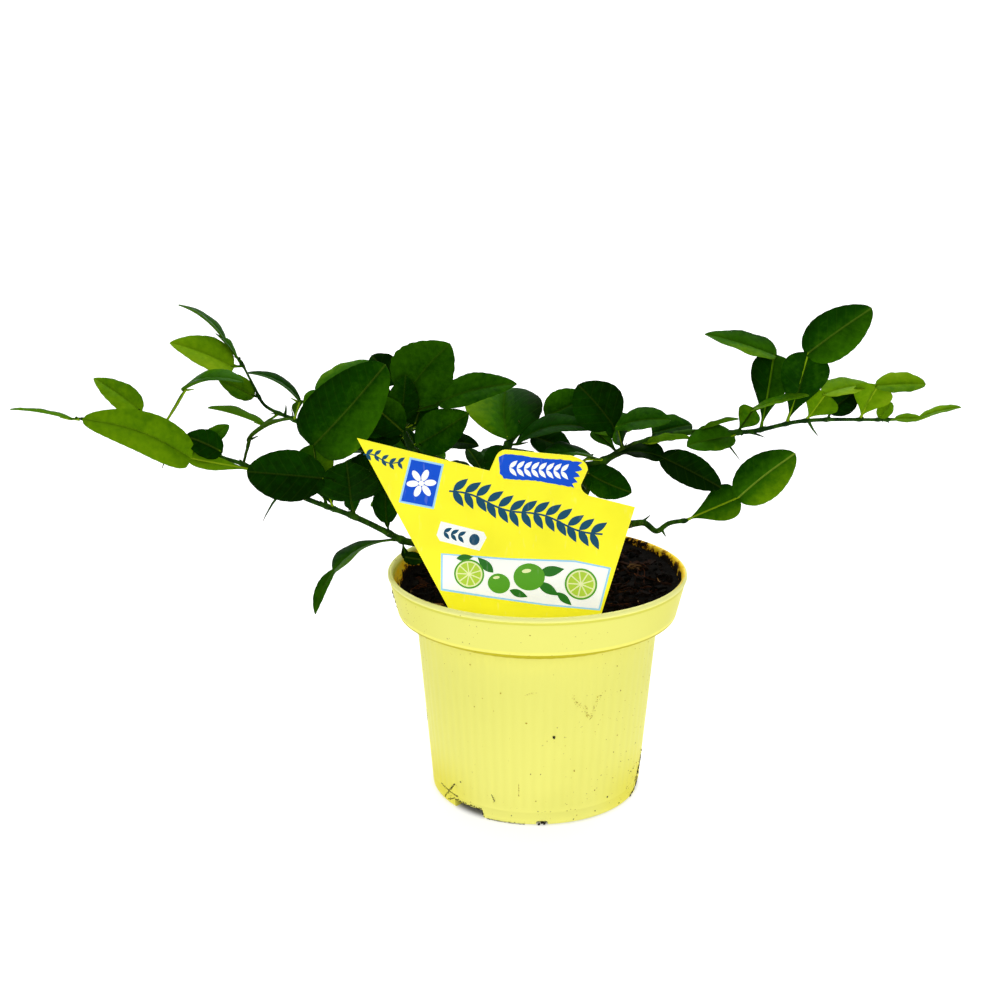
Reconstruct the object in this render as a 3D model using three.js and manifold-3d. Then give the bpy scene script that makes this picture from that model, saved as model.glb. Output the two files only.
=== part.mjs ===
// Potted kaffir lime tree: a young citrus in a nursery pot with a plain plant label.
// Millimetres. +X to the right, +Y away from the viewer, +Z up.
// The origin is the centre of the pot's flat underside.

import * as THREE from "three";
import { mergeVertices } from "three/addons/utils/BufferGeometryUtils.js";
import Module from "manifold-3d";

const wasm = await Module();
wasm.setup();

// Driving dimensions of the pot and its soil
const gap = 0.3;
const facets = 48;
const rimRadius = 65;
const potHeight = 99.3;
const collarHeight = 18;
const collarFootRadius = 60.9;
const shoulderRadius = 53;
const footRadius = 46.4;
const wall = 1.3;
const floorThickness = 2.4;
const soilLevel = 92;
const soilEdgeDrop = 1.2;
const soilSlope = [0.05, 0.08];
const soilFlatRadius = 20;
const soilMidRadius = 34;
const soilEdgeWidth = 7;
const soilEdgeFall = 0.4;
const stepClear = { under: 2, over: 1.4, inside: 1.2, side: 0.2, foot: 0.3 };
const soilCut = { size: 60, depth: 20, centre: [-8, 5] };
const wideNotch = { width: 16, height: 4, first: -130 };
const narrowNotch = { width: 5, height: 2, first: -88 };
const notchesOfEach = 3;
const notchDepth = 8;
const drainHole = { radius: 3.5, ring: 26, count: 6 };

// Driving dimensions of the label. Its outline starts at its top left corner.
const label = {
  corner: [-73.6, -29.7, 163.6],
  turn: -6,
  lean: 3,
  roll: -12.7,
  thickness: 0.8,
  top: 114.8,
  rightFoot: [112.3, -50],
  leftFoot: [50.3, -58.5],
  tab: { left: 56, right: 93, low: 9.5, high: 14, corner: 4 },
  stake: { left: 72, right: 84, leftShoulder: -58.5, rightShoulder: -57, end: -88, tip: 7 },
};

// Driving dimensions of the plant
const trunk = {
  route: [[-8, 5, soilLevel + gap], [-8.6, 4.6, 100], [-9.8, 4.2, 114], [-12, 4, 131]],
  foot: 6.4,
  flareHeight: 9,
  low: 4.4,
  top: 3.1,
};
const leafThickness = 0.9;
const stalkHalfWidth = 0.6;
const wingRatio = 0.62;
const bladeRatio = 0.6;
const plainStalkUnder = 9;
const jointLap = 1.3;
const keel = 0.16;
const twigRadii = [0.9, 0.6];
const thornRadii = [0.6, 0.15];
const trunkSides = 10;
const trunkSteps = 12;
const boughSides = 7;
const boughSteps = 9;
const stemSides = 3;
const stemStep = 9;
const twigSteps = 3;
const twigBend = 0.15;

// The rule for leaves that grow without a row: how they turn, vary and keep their distance
const goldenAngle = 137.5;
const turnSpread = 30;
const openSpread = 16;
const sizeSpread = 0.3;
const wingShare = 0.42;
const twigLeafShare = 0.85;
const bladeFollowsWing = 0.75;
const bladeSpread = 0.5;
const bladeDroop = -0.35;
const limbRoom = 4;
const stemRoom = 3;
const leafRoom = 5;
const crownFall = 0.235;

// Directions. Rise is the angle from +X up to +Z, and away is the angle out of that plane to +Y.
// Face is where a leaf's upper side looks: 0 is up, 90 is at the viewer.
const turned = THREE.MathUtils.degToRad;
const upward = new THREE.Vector3(0, 0, 1);

function heading(rise, away) {
  const flat = Math.cos(turned(away));
  return new THREE.Vector3(
    Math.cos(turned(rise)) * flat, Math.sin(turned(away)), Math.sin(turned(rise)) * flat);
}

function looking(face) {
  return new THREE.Vector3(0, -Math.sin(turned(face)), Math.cos(turned(face)));
}

// The shoots. Each has a bough from the trunk and a mass of foliage that grows on from its tip.
// A bough's first point is inside the trunk. Radii are at the start and the end.
// A leaf row says how far along the stem it sits, then its winged stalk and its blade,
// each as [rise, away, length]. What grows by rule is set by grown, inside the space box,
// whose top falls away towards the back.
const shoots = [
  {
    name: "left_low",
    bough: [[-8.4, 4.6, 99], [-32, 1, 106.5], [-57, -7, 113.3]],
    boughRadii: [2.3, 1.5],
    stem: [[-76, -15, 126], [-99, -20, 137], [-120, -24, 151], [-143, -22, 157],
      [-166, -20, 167], [-187, -22, 170]],
    stemRadii: [1.4, 0.7],
    leaves: [
      { at: 2, wing: [203, -15, 31], blade: [245, -30, 20], face: -4, wide: 0.36, arch: 0.12,
        wingWide: 0.56, wingArch: 0.14 },
      { at: 1, wing: [285, -12, 4], blade: [272, 0, 10], face: 75 },
      { at: 8, wing: [99, 24, 5.5], blade: [91, 20, 17], face: 78 },
      { at: 25, wing: [97, -24, 10], blade: [93, -12, 17], face: 80, wide: 1.35 },
      { at: 27, wing: [81, 26, 9], blade: [57, 22, 22], face: 70, wide: 0.75 },
      { at: 35, wing: [101, -24, 16.5], blade: [171, -14, 31], face: 82, wide: 0.66 },
      { at: 38, wing: [101, 10, 26], blade: [48, -4, 46], face: 76, wide: 0.74 },
      { at: 77, wing: [74, 16, 10.5], blade: [23, 12, 20], face: -12, arch: 0.12 },
      { at: 86, wing: [91, -26, 3.5], blade: [149, -20, 15.5], face: 60, wide: 0.7 },
      { at: 93, wing: [87, 30, 5], blade: [35, 26, 12], face: 40 },
      { at: 71, wing: [164, -18, 27.5], blade: [156, -10, 43.5], face: 62, wide: 0.38,
        wingFace: 50, wingWide: 0.27, arch: 0.1 },
      { at: 122, wing: [92, 22, 7], blade: [148, 14, 23.5], face: 48, wide: 0.46 },
      { at: 114, wing: [57, 4, 22], blade: [8, -6, 25], face: 6, arch: 0.14, wingFace: -10,
        wingWide: 0.1 },
      { at: 146, wing: [176, 0, 4], blade: [171, 0, 24], face: -12, wide: 0.4 },
    ],
    thorns: [[57, 236, -12, 17], [106, 242, -12, 12], [135, 208, -8, 4]],
    grown: { seed: 11, from: 12, step: 12, blade: 19, open: 70, twigs: [], turnFrom: 60 },
    space: [[-112, -16, 130], [-58, 24, 165]],
  },
  {
    name: "left_upper",
    bough: [[-9.4, 4.4, 111], [-28, 9, 127], [-56, 13, 143], [-92, 8, 155]],
    boughRadii: [1.9, 1.3],
    stem: [[-103, 6, 163], [-116, 5, 170], [-120, 4, 178], [-125, 2, 190]],
    stemRadii: [1.2, 0.7],
    leaves: [
      { at: 50, wing: [130, 16, 12.5], blade: [145, 14, 24], face: -12, wide: 0.45, arch: 0.1 },
      { at: 48, wing: [182, -22, 5], blade: [154, -18, 27], face: 42 },
      { at: 33, wing: [164, -16, 3], blade: [148, -14, 16], face: 52 },
      { at: 15, wing: [69, -24, 10], blade: [147, -12, 25], face: 12, wide: 0.36, arch: 0.14 },
      { at: 22, wing: [214, -22, 8], blade: [159, -14, 24], face: -12 },
      { at: 12, wing: [58, 24, 16], blade: [28, 20, 26.5], face: 14 },
    ],
    thorns: [[2, 225, -12, 9], [19, 82, 0, 5]],
    grown: { seed: 23, from: 8, step: 14, blade: 18, open: 62, twigs: [], turnFrom: 40 },
    space: [[-125, 8, 150], [-66, 60, 186]],
  },
  {
    name: "centre_left",
    bough: [[-12, 4, 127], [-32, 8, 140], [-54, 8, 150]],
    boughRadii: [2.1, 1.4],
    stem: [[-58, 9, 160], [-57, 10, 171], [-61, 12, 178]],
    stemRadii: [1.3, 0.7],
    leaves: [
      { at: 20, wing: [80, -8, 4], blade: [50, 0, 29.5], face: 80, wide: 0.9 },
      { at: 16, wing: [21, -18, 18.5], blade: [16, -12, 34], face: 46, wide: 0.44, arch: 0.08,
        wingFace: 66, wingWide: 0.16 },
      { at: 1, wing: [25, -20, 4], blade: [35, -18, 28], face: 62, wide: 0.64 },
      { at: 5, wing: [119, -20, 5], blade: [135, -18, 23], face: 66, wide: 0.66 },
      { at: 27, wing: [122, 18, 4], blade: [134, 24, 16], face: 58, wide: 0.8 },
      { at: 11, wing: [88, -16, 4], blade: [84, -8, 19], face: 74, wide: 0.66 },
      { at: 7, wing: [153, 16, 9.5], blade: [120, 20, 25], face: 66, wide: 0.66 },
      { at: 9, wing: [28, 22, 6], blade: [78, 18, 17], face: 72, wide: 0.9 },
      { at: 3, wing: [140, 10, 5], blade: [165, 14, 24], face: 74, wide: 0.7 },
      { at: 2, wing: [12, -8, 5], blade: [358, -4, 25], face: 24, wide: 0.5, arch: 0.06 },
      { at: 13, wing: [168, 14, 4], blade: [186, 16, 20], face: 70, wide: 0.8 },
    ],
    thorns: [[9, 20, -20, 6]],
    grown: { seed: 31, from: 7, step: 7, blade: 24, open: 66, twigs: [], turnFrom: 100 },
    space: [[-90, -20, 118], [-12, 70, 203]],
  },
  {
    name: "centre",
    bough: [[-12, 4, 129], [-13.4, 3, 142], [-14, 2, 152]],
    boughRadii: [2.2, 1.5],
    stem: [[-8, 6, 158], [4, 10, 163], [14, 12, 166]],
    stemRadii: [1.4, 0.8],
    leaves: [
      { at: 2, wing: [96, 0, 3], blade: [92, 60, 32], face: 44, wide: 1 },
      { at: 2, wing: [12, -24, 5], blade: [11, -4, 33], face: 20, wide: 0.42, arch: 0.17 },
      { at: 21, wing: [44, 20, 3], blade: [22, 16, 20], face: 60, wide: 0.8 },
      { at: 2, wing: [199, -26, 4], blade: [249, -20, 13], face: 70, wide: 0.8 },
      { at: 14, wing: [300, -24, 5], blade: [342, -20, 17.5], face: 52, wide: 0.7 },
    ],
    thorns: [[12, 120, -30, 6]],
    grown: { seed: 47, from: 6, step: 7, blade: 26, open: 64, twigs: [], turnFrom: 20 },
    space: [[-40, -10, 138], [40, 75, 184]],
  },
  {
    name: "right_upper",
    bough: [[-11.4, 4.1, 125], [4, 0, 140], [26, -4, 147]],
    boughRadii: [2.3, 1.6],
    stem: [[41, -6, 155.5], [60, -8, 161], [88, -8, 161.5], [110, -8, 166],
      [147, -5, 166], [160, -5, 166.5]],
    stemRadii: [1.6, 0.75],
    leaves: [
      { at: 2, wing: [9, -24, 26], blade: [-26, -10, 27], face: 58, wide: 0.5,
        wingFace: 18, wingArch: 0.14, wingWide: 0.5 },
      { at: 17, wing: [15, -24, 6.5], blade: [11, -18, 17.5], face: -22 },
      { at: 3, wing: [166, -34, 8], blade: [182, -16, 24], face: 8, arch: 0.14 },
      { at: 1, wing: [215, -24, 8], blade: [338, -14, 20], face: 66, wide: 0.66 },
      { at: 11, wing: [104, -20, 12], blade: [12, -18, 22.5], face: 28, arch: 0.08, wingWide: 1.1 },
      { at: 12, wing: [118, 16, 12], blade: [132, 14, 22], face: 80, wide: 0.95 },
      { at: 9, wing: [141, 26, 14.5], blade: [6, 24, 23.5], face: 30 },
      { at: 23, wing: [47, 22, 4], blade: [8, 20, 17.5], face: 36, wide: 0.8 },
      { at: 40, wing: [23, -26, 6.5], blade: [19, -12, 15], face: -12 },
      { at: 61, wing: [204, -22, 4], blade: [187, -20, 21], face: 44 },
      { at: 60, wing: [63, -22, 13], blade: [19, -16, 23], face: 10, wide: 0.36, wingFace: 50, wingWide: 0.8 },
      { at: 70, wing: [80, 14, 31.5], blade: [164, 10, 30], face: 26, wide: 0.5, wingFace: 84,
        wingWide: 0.56 },
      { at: 81, wing: [79, -10, 31.5], blade: [40, -12, 30.5], face: 80, wide: 0.62, wingWide: 0.64 },
      { at: 89, wing: [60, -12, 14], blade: [5, 26, 24], face: 18, wide: 0.56,
        wingFace: 74, wingWide: 1.1 },
      { at: 98, wing: [58, 24, 4], blade: [33, 22, 15.5], face: 68, wide: 0.7 },
      { at: 112, wing: [70, -14, 16.5], blade: [4, -10, 19], face: 36, wide: 0.56,
        wingFace: 70, wingWide: 1 },
      { at: 120, wing: [62, 16, 2], blade: [44, 16, 7.5], face: 50, wide: 0.7 },
      { at: 124, wing: [12, -26, 4], blade: [4, -18, 10], face: 30, wide: 0.5 },
      { at: 134, wing: [6, 0, 4], blade: [18, -8, 16.5], face: 10, wide: 0.4 },
    ],
    thorns: [[52, 309, -14, 15], [64, 345, -16, 8], [90, 304, -12, 8], [122, 335, -10, 3]],
    grown: { seed: 59, from: 30, step: 20, blade: 16, open: 60, twigs: [], turnFrom: 250 },
    space: [[88, -4, 158], [128, 30, 186]],
  },
  {
    name: "right_low",
    bough: [[-8.2, 4.6, 100], [16, 2, 111], [40, 0, 119]],
    boughRadii: [2.2, 1.7],
    stem: [[46, -2, 120], [51, -4, 117], [56, -6, 121], [64, -8, 123]],
    stemRadii: [1.6, 1.1],
    leaves: [
      { at: 26, wing: [29, -14, 25.5], blade: [44, -12, 30], face: 76, wide: 0.62, wingFace: 56 },
    ],
    thorns: [[4, 38, 0, 6], [15, 300, -10, 4]],
    grown: { seed: 61, from: 60, step: 9, blade: 20, open: 64, twigs: [], turnFrom: 80 },
    space: [[38, -30, 102], [105, 40, 152]],
  },
  {
    name: "back_left",
    bough: [[-9.6, 4.3, 113], [-26, 22, 122], [-44, 38, 127]],
    boughRadii: [2.1, 1.5],
    stem: [[-56, 54, 134], [-70, 70, 142], [-86, 84, 148]],
    stemRadii: [1.4, 0.7],
    leaves: [],
    thorns: [[16, 200, 30, 8], [38, 160, 40, 6]],
    grown: { seed: 73, from: 2, step: 6.5, blade: 28, open: 58,
      twigs: [[14, 34, 26], [28, -38, 22]], turnFrom: 30 },
    space: [[-116, 14, 101], [-36, 124, 172]],
  },
  {
    name: "back_middle",
    bough: [[-10.6, 4.1, 119], [-15, 22, 124], [-22, 40, 126]],
    boughRadii: [2.1, 1.5],
    stem: [[-26, 58, 126], [-24, 76, 121], [-30, 96, 115]],
    stemRadii: [1.4, 0.7],
    leaves: [],
    thorns: [[12, 60, 50, 8], [34, 250, 40, 6]],
    grown: { seed: 83, from: 2, step: 5.5, blade: 25, open: 58,
      twigs: [[12, 36, 24], [30, -36, 22]], turnFrom: 100 },
    space: [[-64, 20, 101], [12, 124, 149]],
  },
  {
    name: "back_right",
    bough: [[-9.2, 4.4, 107], [2, 19, 118], [11, 33, 128]],
    boughRadii: [2, 1.5],
    stem: [[14, 47, 131], [13, 61, 131], [18, 82, 126]],
    stemRadii: [1.4, 0.7],
    leaves: [],
    thorns: [[14, 320, 30, 7], [30, 30, 40, 6]],
    grown: { seed: 97, from: 2, step: 5.5, blade: 25, open: 58,
      twigs: [[14, -34, 22], [30, 30, 20]], turnFrom: 170 },
    space: [[-16, 20, 101], [38, 116, 149]],
  },
];

// Materials, one for each kind of thing
const matt = (color, roughness) => new THREE.MeshStandardMaterial({ color, roughness, metalness: 0 });
const finishes = {
  pot: matt("#efe97c", 0.42),
  soil: matt("#2a1c12", 0.95),
  label: matt("#f7f02c", 0.35),
  bark: matt("#5c6a2c", 0.75),
  foliage: matt("#1f4a0c", 0.45),
};

// Solids from rings of points, and back to meshes
function loft(rings) {
  const count = rings[0].length;
  const places = rings.flat().flatMap((point) => point.toArray());
  const faces = [];
  for (let ring = 0; ring + 1 < rings.length; ring += 1) {
    for (let side = 0; side < count; side += 1) {
      const next = (side + 1) % count;
      const low = ring * count;
      const high = low + count;
      faces.push(low + side, low + next, high + next, low + side, high + next, high + side);
    }
  }
  const last = (rings.length - 1) * count;
  for (let side = 1; side + 1 < count; side += 1) {
    faces.push(0, side + 1, side, last, last + side, last + side + 1);
  }
  const geometry = new THREE.BufferGeometry();
  geometry.setAttribute("position", new THREE.Float32BufferAttribute(places, 3));
  geometry.setIndex(faces);
  return geometry;
}

function solid(geometry) {
  const bare = geometry.clone();
  bare.deleteAttribute("normal");
  bare.deleteAttribute("uv");
  const merged = mergeVertices(bare, 1e-4);
  const index = merged.index.array;
  const faces = [];
  for (let start = 0; start < index.length; start += 3) {
    const [a, b, c] = index.slice(start, start + 3);
    if (a !== b && b !== c && c !== a) {
      faces.push(a, b, c);
    }
  }
  return new wasm.Manifold(new wasm.Mesh({
    numProp: 3,
    vertProperties: new Float32Array(merged.attributes.position.array),
    triVerts: new Uint32Array(faces),
  }));
}

function largest(body) {
  return body.decompose().reduce((best, piece) => (piece.volume() > best.volume() ? piece : best));
}

function named(name, body, material) {
  const { vertProperties, triVerts } = body.getMesh();
  const geometry = new THREE.BufferGeometry();
  geometry.setAttribute("position", new THREE.BufferAttribute(vertProperties, 3));
  geometry.setIndex(new THREE.BufferAttribute(triVerts, 1));
  geometry.computeVertexNormals();
  const mesh = new THREE.Mesh(geometry, material);
  mesh.name = name;
  return mesh;
}

// Limbs: a tapering tube with a few sides along a smooth curve
function routeOf(points) {
  const places = points.map((point) => new THREE.Vector3(...point));
  return new THREE.CatmullRomCurve3(places, false, "centripetal");
}

function limb(curve, radiusAt, sides, steps, tipReach = 0) {
  const frames = curve.computeFrenetFrames(steps, false);
  const rings = [];
  for (let step = 0; step <= steps; step += 1) {
    const along = step / steps;
    const centre = curve.getPointAt(along);
    const radius = radiusAt(along);
    const ring = [];
    for (let side = 0; side < sides; side += 1) {
      const angle = (2 * Math.PI * side) / sides;
      ring.push(centre.clone()
        .addScaledVector(frames.normals[step], Math.cos(angle) * radius)
        .addScaledVector(frames.binormals[step], Math.sin(angle) * radius));
    }
    rings.push(ring);
  }
  if (tipReach > 0) {
    const ahead = frames.tangents[steps];
    rings.push(rings[steps].map((point) => point.clone().addScaledVector(ahead, tipReach)));
  }
  return loft(rings);
}

const tapered = ([start, end], extra = 0) => (along) => start + (end - start) * along + extra;

// The seeded rule's random numbers, from 0 up to 1
function seeded(seed) {
  let state = seed;
  return () => {
    state = (Math.imul(state, 1664525) + 1013904223) >>> 0;
    return state / 4294967296;
  };
}

// A leaf: a winged stalk and a blade, each a thin loft with sharp edges and a raised midrib
function sheet(start, direction, length, look, widths, archRatio) {
  const across = direction.clone().cross(look).normalize();
  const up = across.clone().cross(direction).normalize();
  return widths.map(([along, half, thick]) => {
    const centre = start.clone()
      .addScaledVector(direction, along * length)
      .addScaledVector(up, archRatio * length * 4 * along * (1 - along));
    const lift = keel * half;
    return [
      centre.clone().addScaledVector(across, half).addScaledVector(up, lift),
      centre.clone().addScaledVector(up, -thick / 2),
      centre.clone().addScaledVector(across, -half).addScaledVector(up, lift),
      centre.clone().addScaledVector(up, thick / 2),
    ];
  });
}

function wingWidths(length, wide) {
  const stalk = stalkHalfWidth;
  if (length < plainStalkUnder) {
    return [[0, stalk, 1.3], [1, stalk, 1.2]];
  }
  const half = (wide * length) / 2;
  return [[0, stalk, 1.3], [0.24, stalk, 1.1], [0.72, half, leafThickness], [1, half * 0.5, leafThickness]];
}

function bladeWidths(length, wide) {
  const half = (wide * length) / 2;
  return [[0, stalkHalfWidth, 1.1], [0.17, half * 0.76, leafThickness], [0.46, half, leafThickness],
    [0.8, half * 0.62, leafThickness], [1, 0.12, 0.24]];
}

function leafPlan(foot, row) {
  const wingWay = row.wingWay ?? heading(row.wing[0], row.wing[1]);
  const bladeWay = row.bladeWay ?? heading(row.blade[0], row.blade[1]);
  const joint = foot.clone().addScaledVector(wingWay, row.wing[2]);
  const bladeStart = joint.clone().addScaledVector(bladeWay, -jointLap);
  const tip = joint.clone().addScaledVector(bladeWay, row.blade[2]);
  return { foot, joint, tip, wingWay, bladeWay, bladeStart, row };
}

function leafSolid(plan) {
  const { row, foot, wingWay, bladeWay, bladeStart } = plan;
  const look = row.look ?? looking(row.face);
  const wingLook = row.look ?? looking(row.wingFace ?? row.face);
  const wingLength = row.wing[2];
  const bladeLength = row.blade[2] + jointLap;
  const wing = sheet(foot, wingWay, wingLength + 0.4, wingLook,
    wingWidths(wingLength, row.wingWide ?? wingRatio), row.wingArch ?? 0);
  const blade = sheet(bladeStart, bladeWay, bladeLength, look,
    bladeWidths(bladeLength, row.wide ?? bladeRatio), row.arch ?? 0.05);
  return solid(loft(wing)).add(solid(loft(blade)));
}

// Points that stand for a leaf when its room is tested
function leafPoints({ foot, joint, tip, wingWay, row }) {
  const points = [0.6, 1].map((part) => foot.clone().lerp(joint, part));
  const across = tip.clone().sub(joint).cross(row.look ?? looking(row.face)).normalize();
  const half = (row.blade[2] * (row.wide ?? bladeRatio)) / 2;
  for (const part of [0.25, 0.5, 0.75, 1]) {
    points.push(joint.clone().lerp(tip, part));
  }
  for (const side of [-1, 1]) {
    points.push(joint.clone().lerp(tip, 0.42).addScaledVector(across, side * half));
  }
  return points;
}

// Rows for the leaves that the seeded rule adds along a stem or twig
function grownRows(curve, rule, random, from, count, size) {
  const rows = [];
  const length = curve.getLength();
  const either = (spread) => spread * (random() - 0.5);
  let turn = rule.turnFrom;
  for (let number = 0; number < count; number += 1) {
    const at = Math.min(from + number * rule.step, length - 0.5);
    const way = curve.getTangentAt(at / length);
    const out = upward.clone().cross(way).normalize();
    const over = way.clone().cross(out);
    const open = turned(rule.open + either(openSpread));
    const round = turned(turn + either(turnSpread));
    const reach = size * (1 + either(sizeSpread));
    const lean = out.multiplyScalar(Math.cos(round)).addScaledVector(over, Math.sin(round));
    const wingWay = way.clone().multiplyScalar(Math.cos(open))
      .addScaledVector(lean, Math.sin(open)).normalize();
    const sway = new THREE.Vector3(either(bladeSpread), either(bladeSpread), bladeDroop * random());
    const bladeWay = wingWay.clone().multiplyScalar(bladeFollowsWing).add(sway).normalize();
    const look = new THREE.Vector3(either(bladeSpread), either(bladeSpread) - 0.25, 1).normalize();
    rows.push({ at, wing: [0, 0, reach * wingShare], blade: [0, 0, reach], wingWay, bladeWay, look });
    turn += goldenAngle;
  }
  return rows;
}

function distanceToRoute(point, route) {
  return Math.min(...route.map((place) => place.distanceTo(point)));
}

function hasRoom(plan, space, routes, taken, ownRoute) {
  const [low, high] = space.map((corner) => new THREE.Vector3(...corner));
  const box = new THREE.Box3(low, high);
  const points = leafPoints(plan);
  const others = routes.filter((route) => route !== ownRoute);
  const underCrown = (point) => point.z < high.z - crownFall * (point.y - low.y);
  return points.every((point) => box.containsPoint(point) && underCrown(point))
    && points.every((point) => others.every((route) => distanceToRoute(point, route) > limbRoom))
    && points.slice(1).every((point) => distanceToRoute(point, ownRoute) > stemRoom)
    && points.slice(2).every((point) => taken.every((other) => other.distanceTo(point) > leafRoom));
}

// The trunk, cut flat at soil level, with a flare at its foot
const trunkCurve = routeOf(trunk.route);
const trunkLength = trunkCurve.getLength();

function trunkRadius(extra) {
  return (along) => {
    const height = along * trunkLength;
    const flare = Math.max(0, 1 - height / trunk.flareHeight) ** 2 * (trunk.foot - trunk.low);
    return trunk.low + (trunk.top - trunk.low) * along + flare + extra;
  };
}

// Plans first: every route is known before any leaf is placed
for (const shoot of shoots) {
  shoot.boughCurve = routeOf(shoot.bough);
  const tip = shoot.boughCurve.getPointAt(1);
  const onward = new THREE.Vector3(...shoot.stem[0]).sub(tip).normalize();
  const start = tip.addScaledVector(onward, gap);
  shoot.stemCurve = routeOf([start.toArray(), ...shoot.stem]);
  const way = shoot.stemCurve.getTangentAt(0);
  shoot.twigCurves = shoot.grown.twigs.map(([at, swing, length]) => {
    const along = at / shoot.stemCurve.getLength();
    const root = shoot.stemCurve.getPointAt(along);
    const ahead = shoot.stemCurve.getTangentAt(along).applyAxisAngle(upward, turned(swing));
    const middle = root.clone().addScaledVector(ahead, length / 2);
    const end = root.clone().addScaledVector(ahead, length).addScaledVector(way, length * twigBend);
    return routeOf([root.toArray(), middle.toArray(), end.toArray()]);
  });
}
const trunkRoute = trunkCurve.getSpacedPoints(16);
const boughRoutes = shoots.map((shoot) => shoot.boughCurve.getSpacedPoints(20));
const stemRoutes = shoots.map((shoot) => shoot.stemCurve.getSpacedPoints(48));
const twigRoutes = shoots.map((shoot) => shoot.twigCurves.map((twig) => twig.getSpacedPoints(10)));
const routes = [trunkRoute, ...boughRoutes, ...stemRoutes, ...twigRoutes.flat()];

// Leaves with rows of their own are placed first, and the rule's leaves find room among them
const taken = [];
shoots.forEach((shoot) => {
  const length = shoot.stemCurve.getLength();
  shoot.leafPlans = shoot.leaves.map((row) => leafPlan(shoot.stemCurve.getPointAt(row.at / length), row));
  shoot.leafPlans.forEach((plan) => taken.push(...leafPoints(plan).slice(2)));
});
shoots.forEach((shoot, number) => {
  const { grown } = shoot;
  const random = seeded(grown.seed);
  const length = shoot.stemCurve.getLength();
  const nodes = Math.floor((length - grown.from) / grown.step) + 1;
  const stemRows = grownRows(shoot.stemCurve, grown, random, grown.from, nodes, grown.blade);
  const places = [[shoot.stemCurve, stemRoutes[number], stemRows]];
  shoot.twigCurves.forEach((twig, which) => {
    const twigNodes = Math.floor(twig.getLength() / grown.step);
    const rows = grownRows(twig, grown, random, grown.step, twigNodes, grown.blade * twigLeafShare);
    places.push([twig, twigRoutes[number][which], rows]);
  });
  for (const [curve, ownRoute, rows] of places) {
    for (const row of rows) {
      const plan = leafPlan(curve.getPointAt(row.at / curve.getLength()), row);
      if (hasRoom(plan, shoot.space, routes, taken, ownRoute)) {
        shoot.leafPlans.push(plan);
        taken.push(...leafPoints(plan).slice(2));
      }
    }
  }
});

// The pot: one shell with a stepped collar, notches in its foot and drain holes
function potBody() {
  const collarFoot = potHeight - collarHeight;
  const inner = (radius) => radius - wall;
  const profile = [
    [0, 0], [footRadius - 1, 0], [footRadius, 1], [shoulderRadius, collarFoot - 2],
    [shoulderRadius + 0.8, collarFoot - 0.6], [collarFootRadius - 0.8, collarFoot - 0.3],
    [collarFootRadius, collarFoot + 0.6], [rimRadius - 0.5, potHeight - 2.2], [rimRadius, potHeight - 1.6],
    [rimRadius, potHeight - 0.4], [rimRadius - 0.5, potHeight], [rimRadius - 1.7, potHeight],
    [rimRadius - 2.1, potHeight - 0.6], [inner(collarFootRadius), collarFoot + wall + 0.4],
    [inner(shoulderRadius) + 0.5, collarFoot + 0.6], [inner(shoulderRadius), collarFoot - 1.4],
    [inner(footRadius), floorThickness], [0, floorThickness],
  ];
  const shell = new THREE.LatheGeometry(profile.map(([r, z]) => new THREE.Vector2(r, z)), facets);
  shell.rotateX(Math.PI / 2);
  let body = solid(shell);
  for (const notch of [wideNotch, narrowNotch]) {
    for (let number = 0; number < notchesOfEach; number += 1) {
      const cutter = new THREE.BoxGeometry(notchDepth * 2, notch.width, notch.height * 2);
      cutter.translate(footRadius, 0, 0);
      cutter.rotateZ(turned(notch.first + (360 / notchesOfEach) * number));
      body = body.subtract(solid(cutter));
    }
  }
  for (let number = 0; number < drainHole.count; number += 1) {
    const cutter = new THREE.CylinderGeometry(drainHole.radius, drainHole.radius, 12, 12);
    cutter.rotateX(Math.PI / 2);
    cutter.translate(drainHole.ring, 0, 0);
    cutter.rotateZ(turned((360 / drainHole.count) * number));
    body = body.subtract(solid(cutter));
  }
  return body;
}

// The label: a flat card with a rounded tab, on a stake that goes into the soil
function labelShape(extra) {
  const { tab, stake } = label;
  const outline = new THREE.Shape();
  outline.moveTo(-extra, extra);
  outline.lineTo(tab.left - 1, extra);
  outline.lineTo(tab.left, tab.low - tab.corner);
  outline.quadraticCurveTo(tab.left + 0.5, tab.low, tab.left + tab.corner, tab.low + 0.6);
  outline.lineTo(tab.right - 2 * tab.corner, tab.high + extra);
  outline.quadraticCurveTo(tab.right - 1, tab.high, tab.right, tab.high - tab.corner);
  outline.lineTo(tab.right - 1.2, 3.5);
  outline.quadraticCurveTo(tab.right - 0.6, 0.6, tab.right + 3, extra);
  outline.lineTo(label.top + extra, extra);
  outline.lineTo(label.rightFoot[0] + extra, label.rightFoot[1] - extra);
  outline.lineTo(stake.right + extra, stake.rightShoulder - extra);
  outline.lineTo(stake.right + extra, stake.end);
  outline.lineTo((stake.left + stake.right) / 2, stake.end - stake.tip - extra);
  outline.lineTo(stake.left - extra, stake.end);
  outline.lineTo(stake.left - extra, stake.leftShoulder - extra);
  outline.lineTo(label.leftFoot[0] - extra, label.leftFoot[1] - extra);
  return outline;
}

function labelBody(extra) {
  const thickness = label.thickness + 2 * extra;
  const card = new THREE.ExtrudeGeometry(labelShape(extra), {
    depth: thickness, bevelEnabled: false, curveSegments: 4 });
  card.translate(0, 0, -thickness / 2);
  card.rotateZ(turned(label.roll));
  card.rotateX(turned(90 - label.lean));
  card.rotateZ(turned(label.turn));
  card.translate(...label.corner);
  return solid(card);
}

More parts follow.
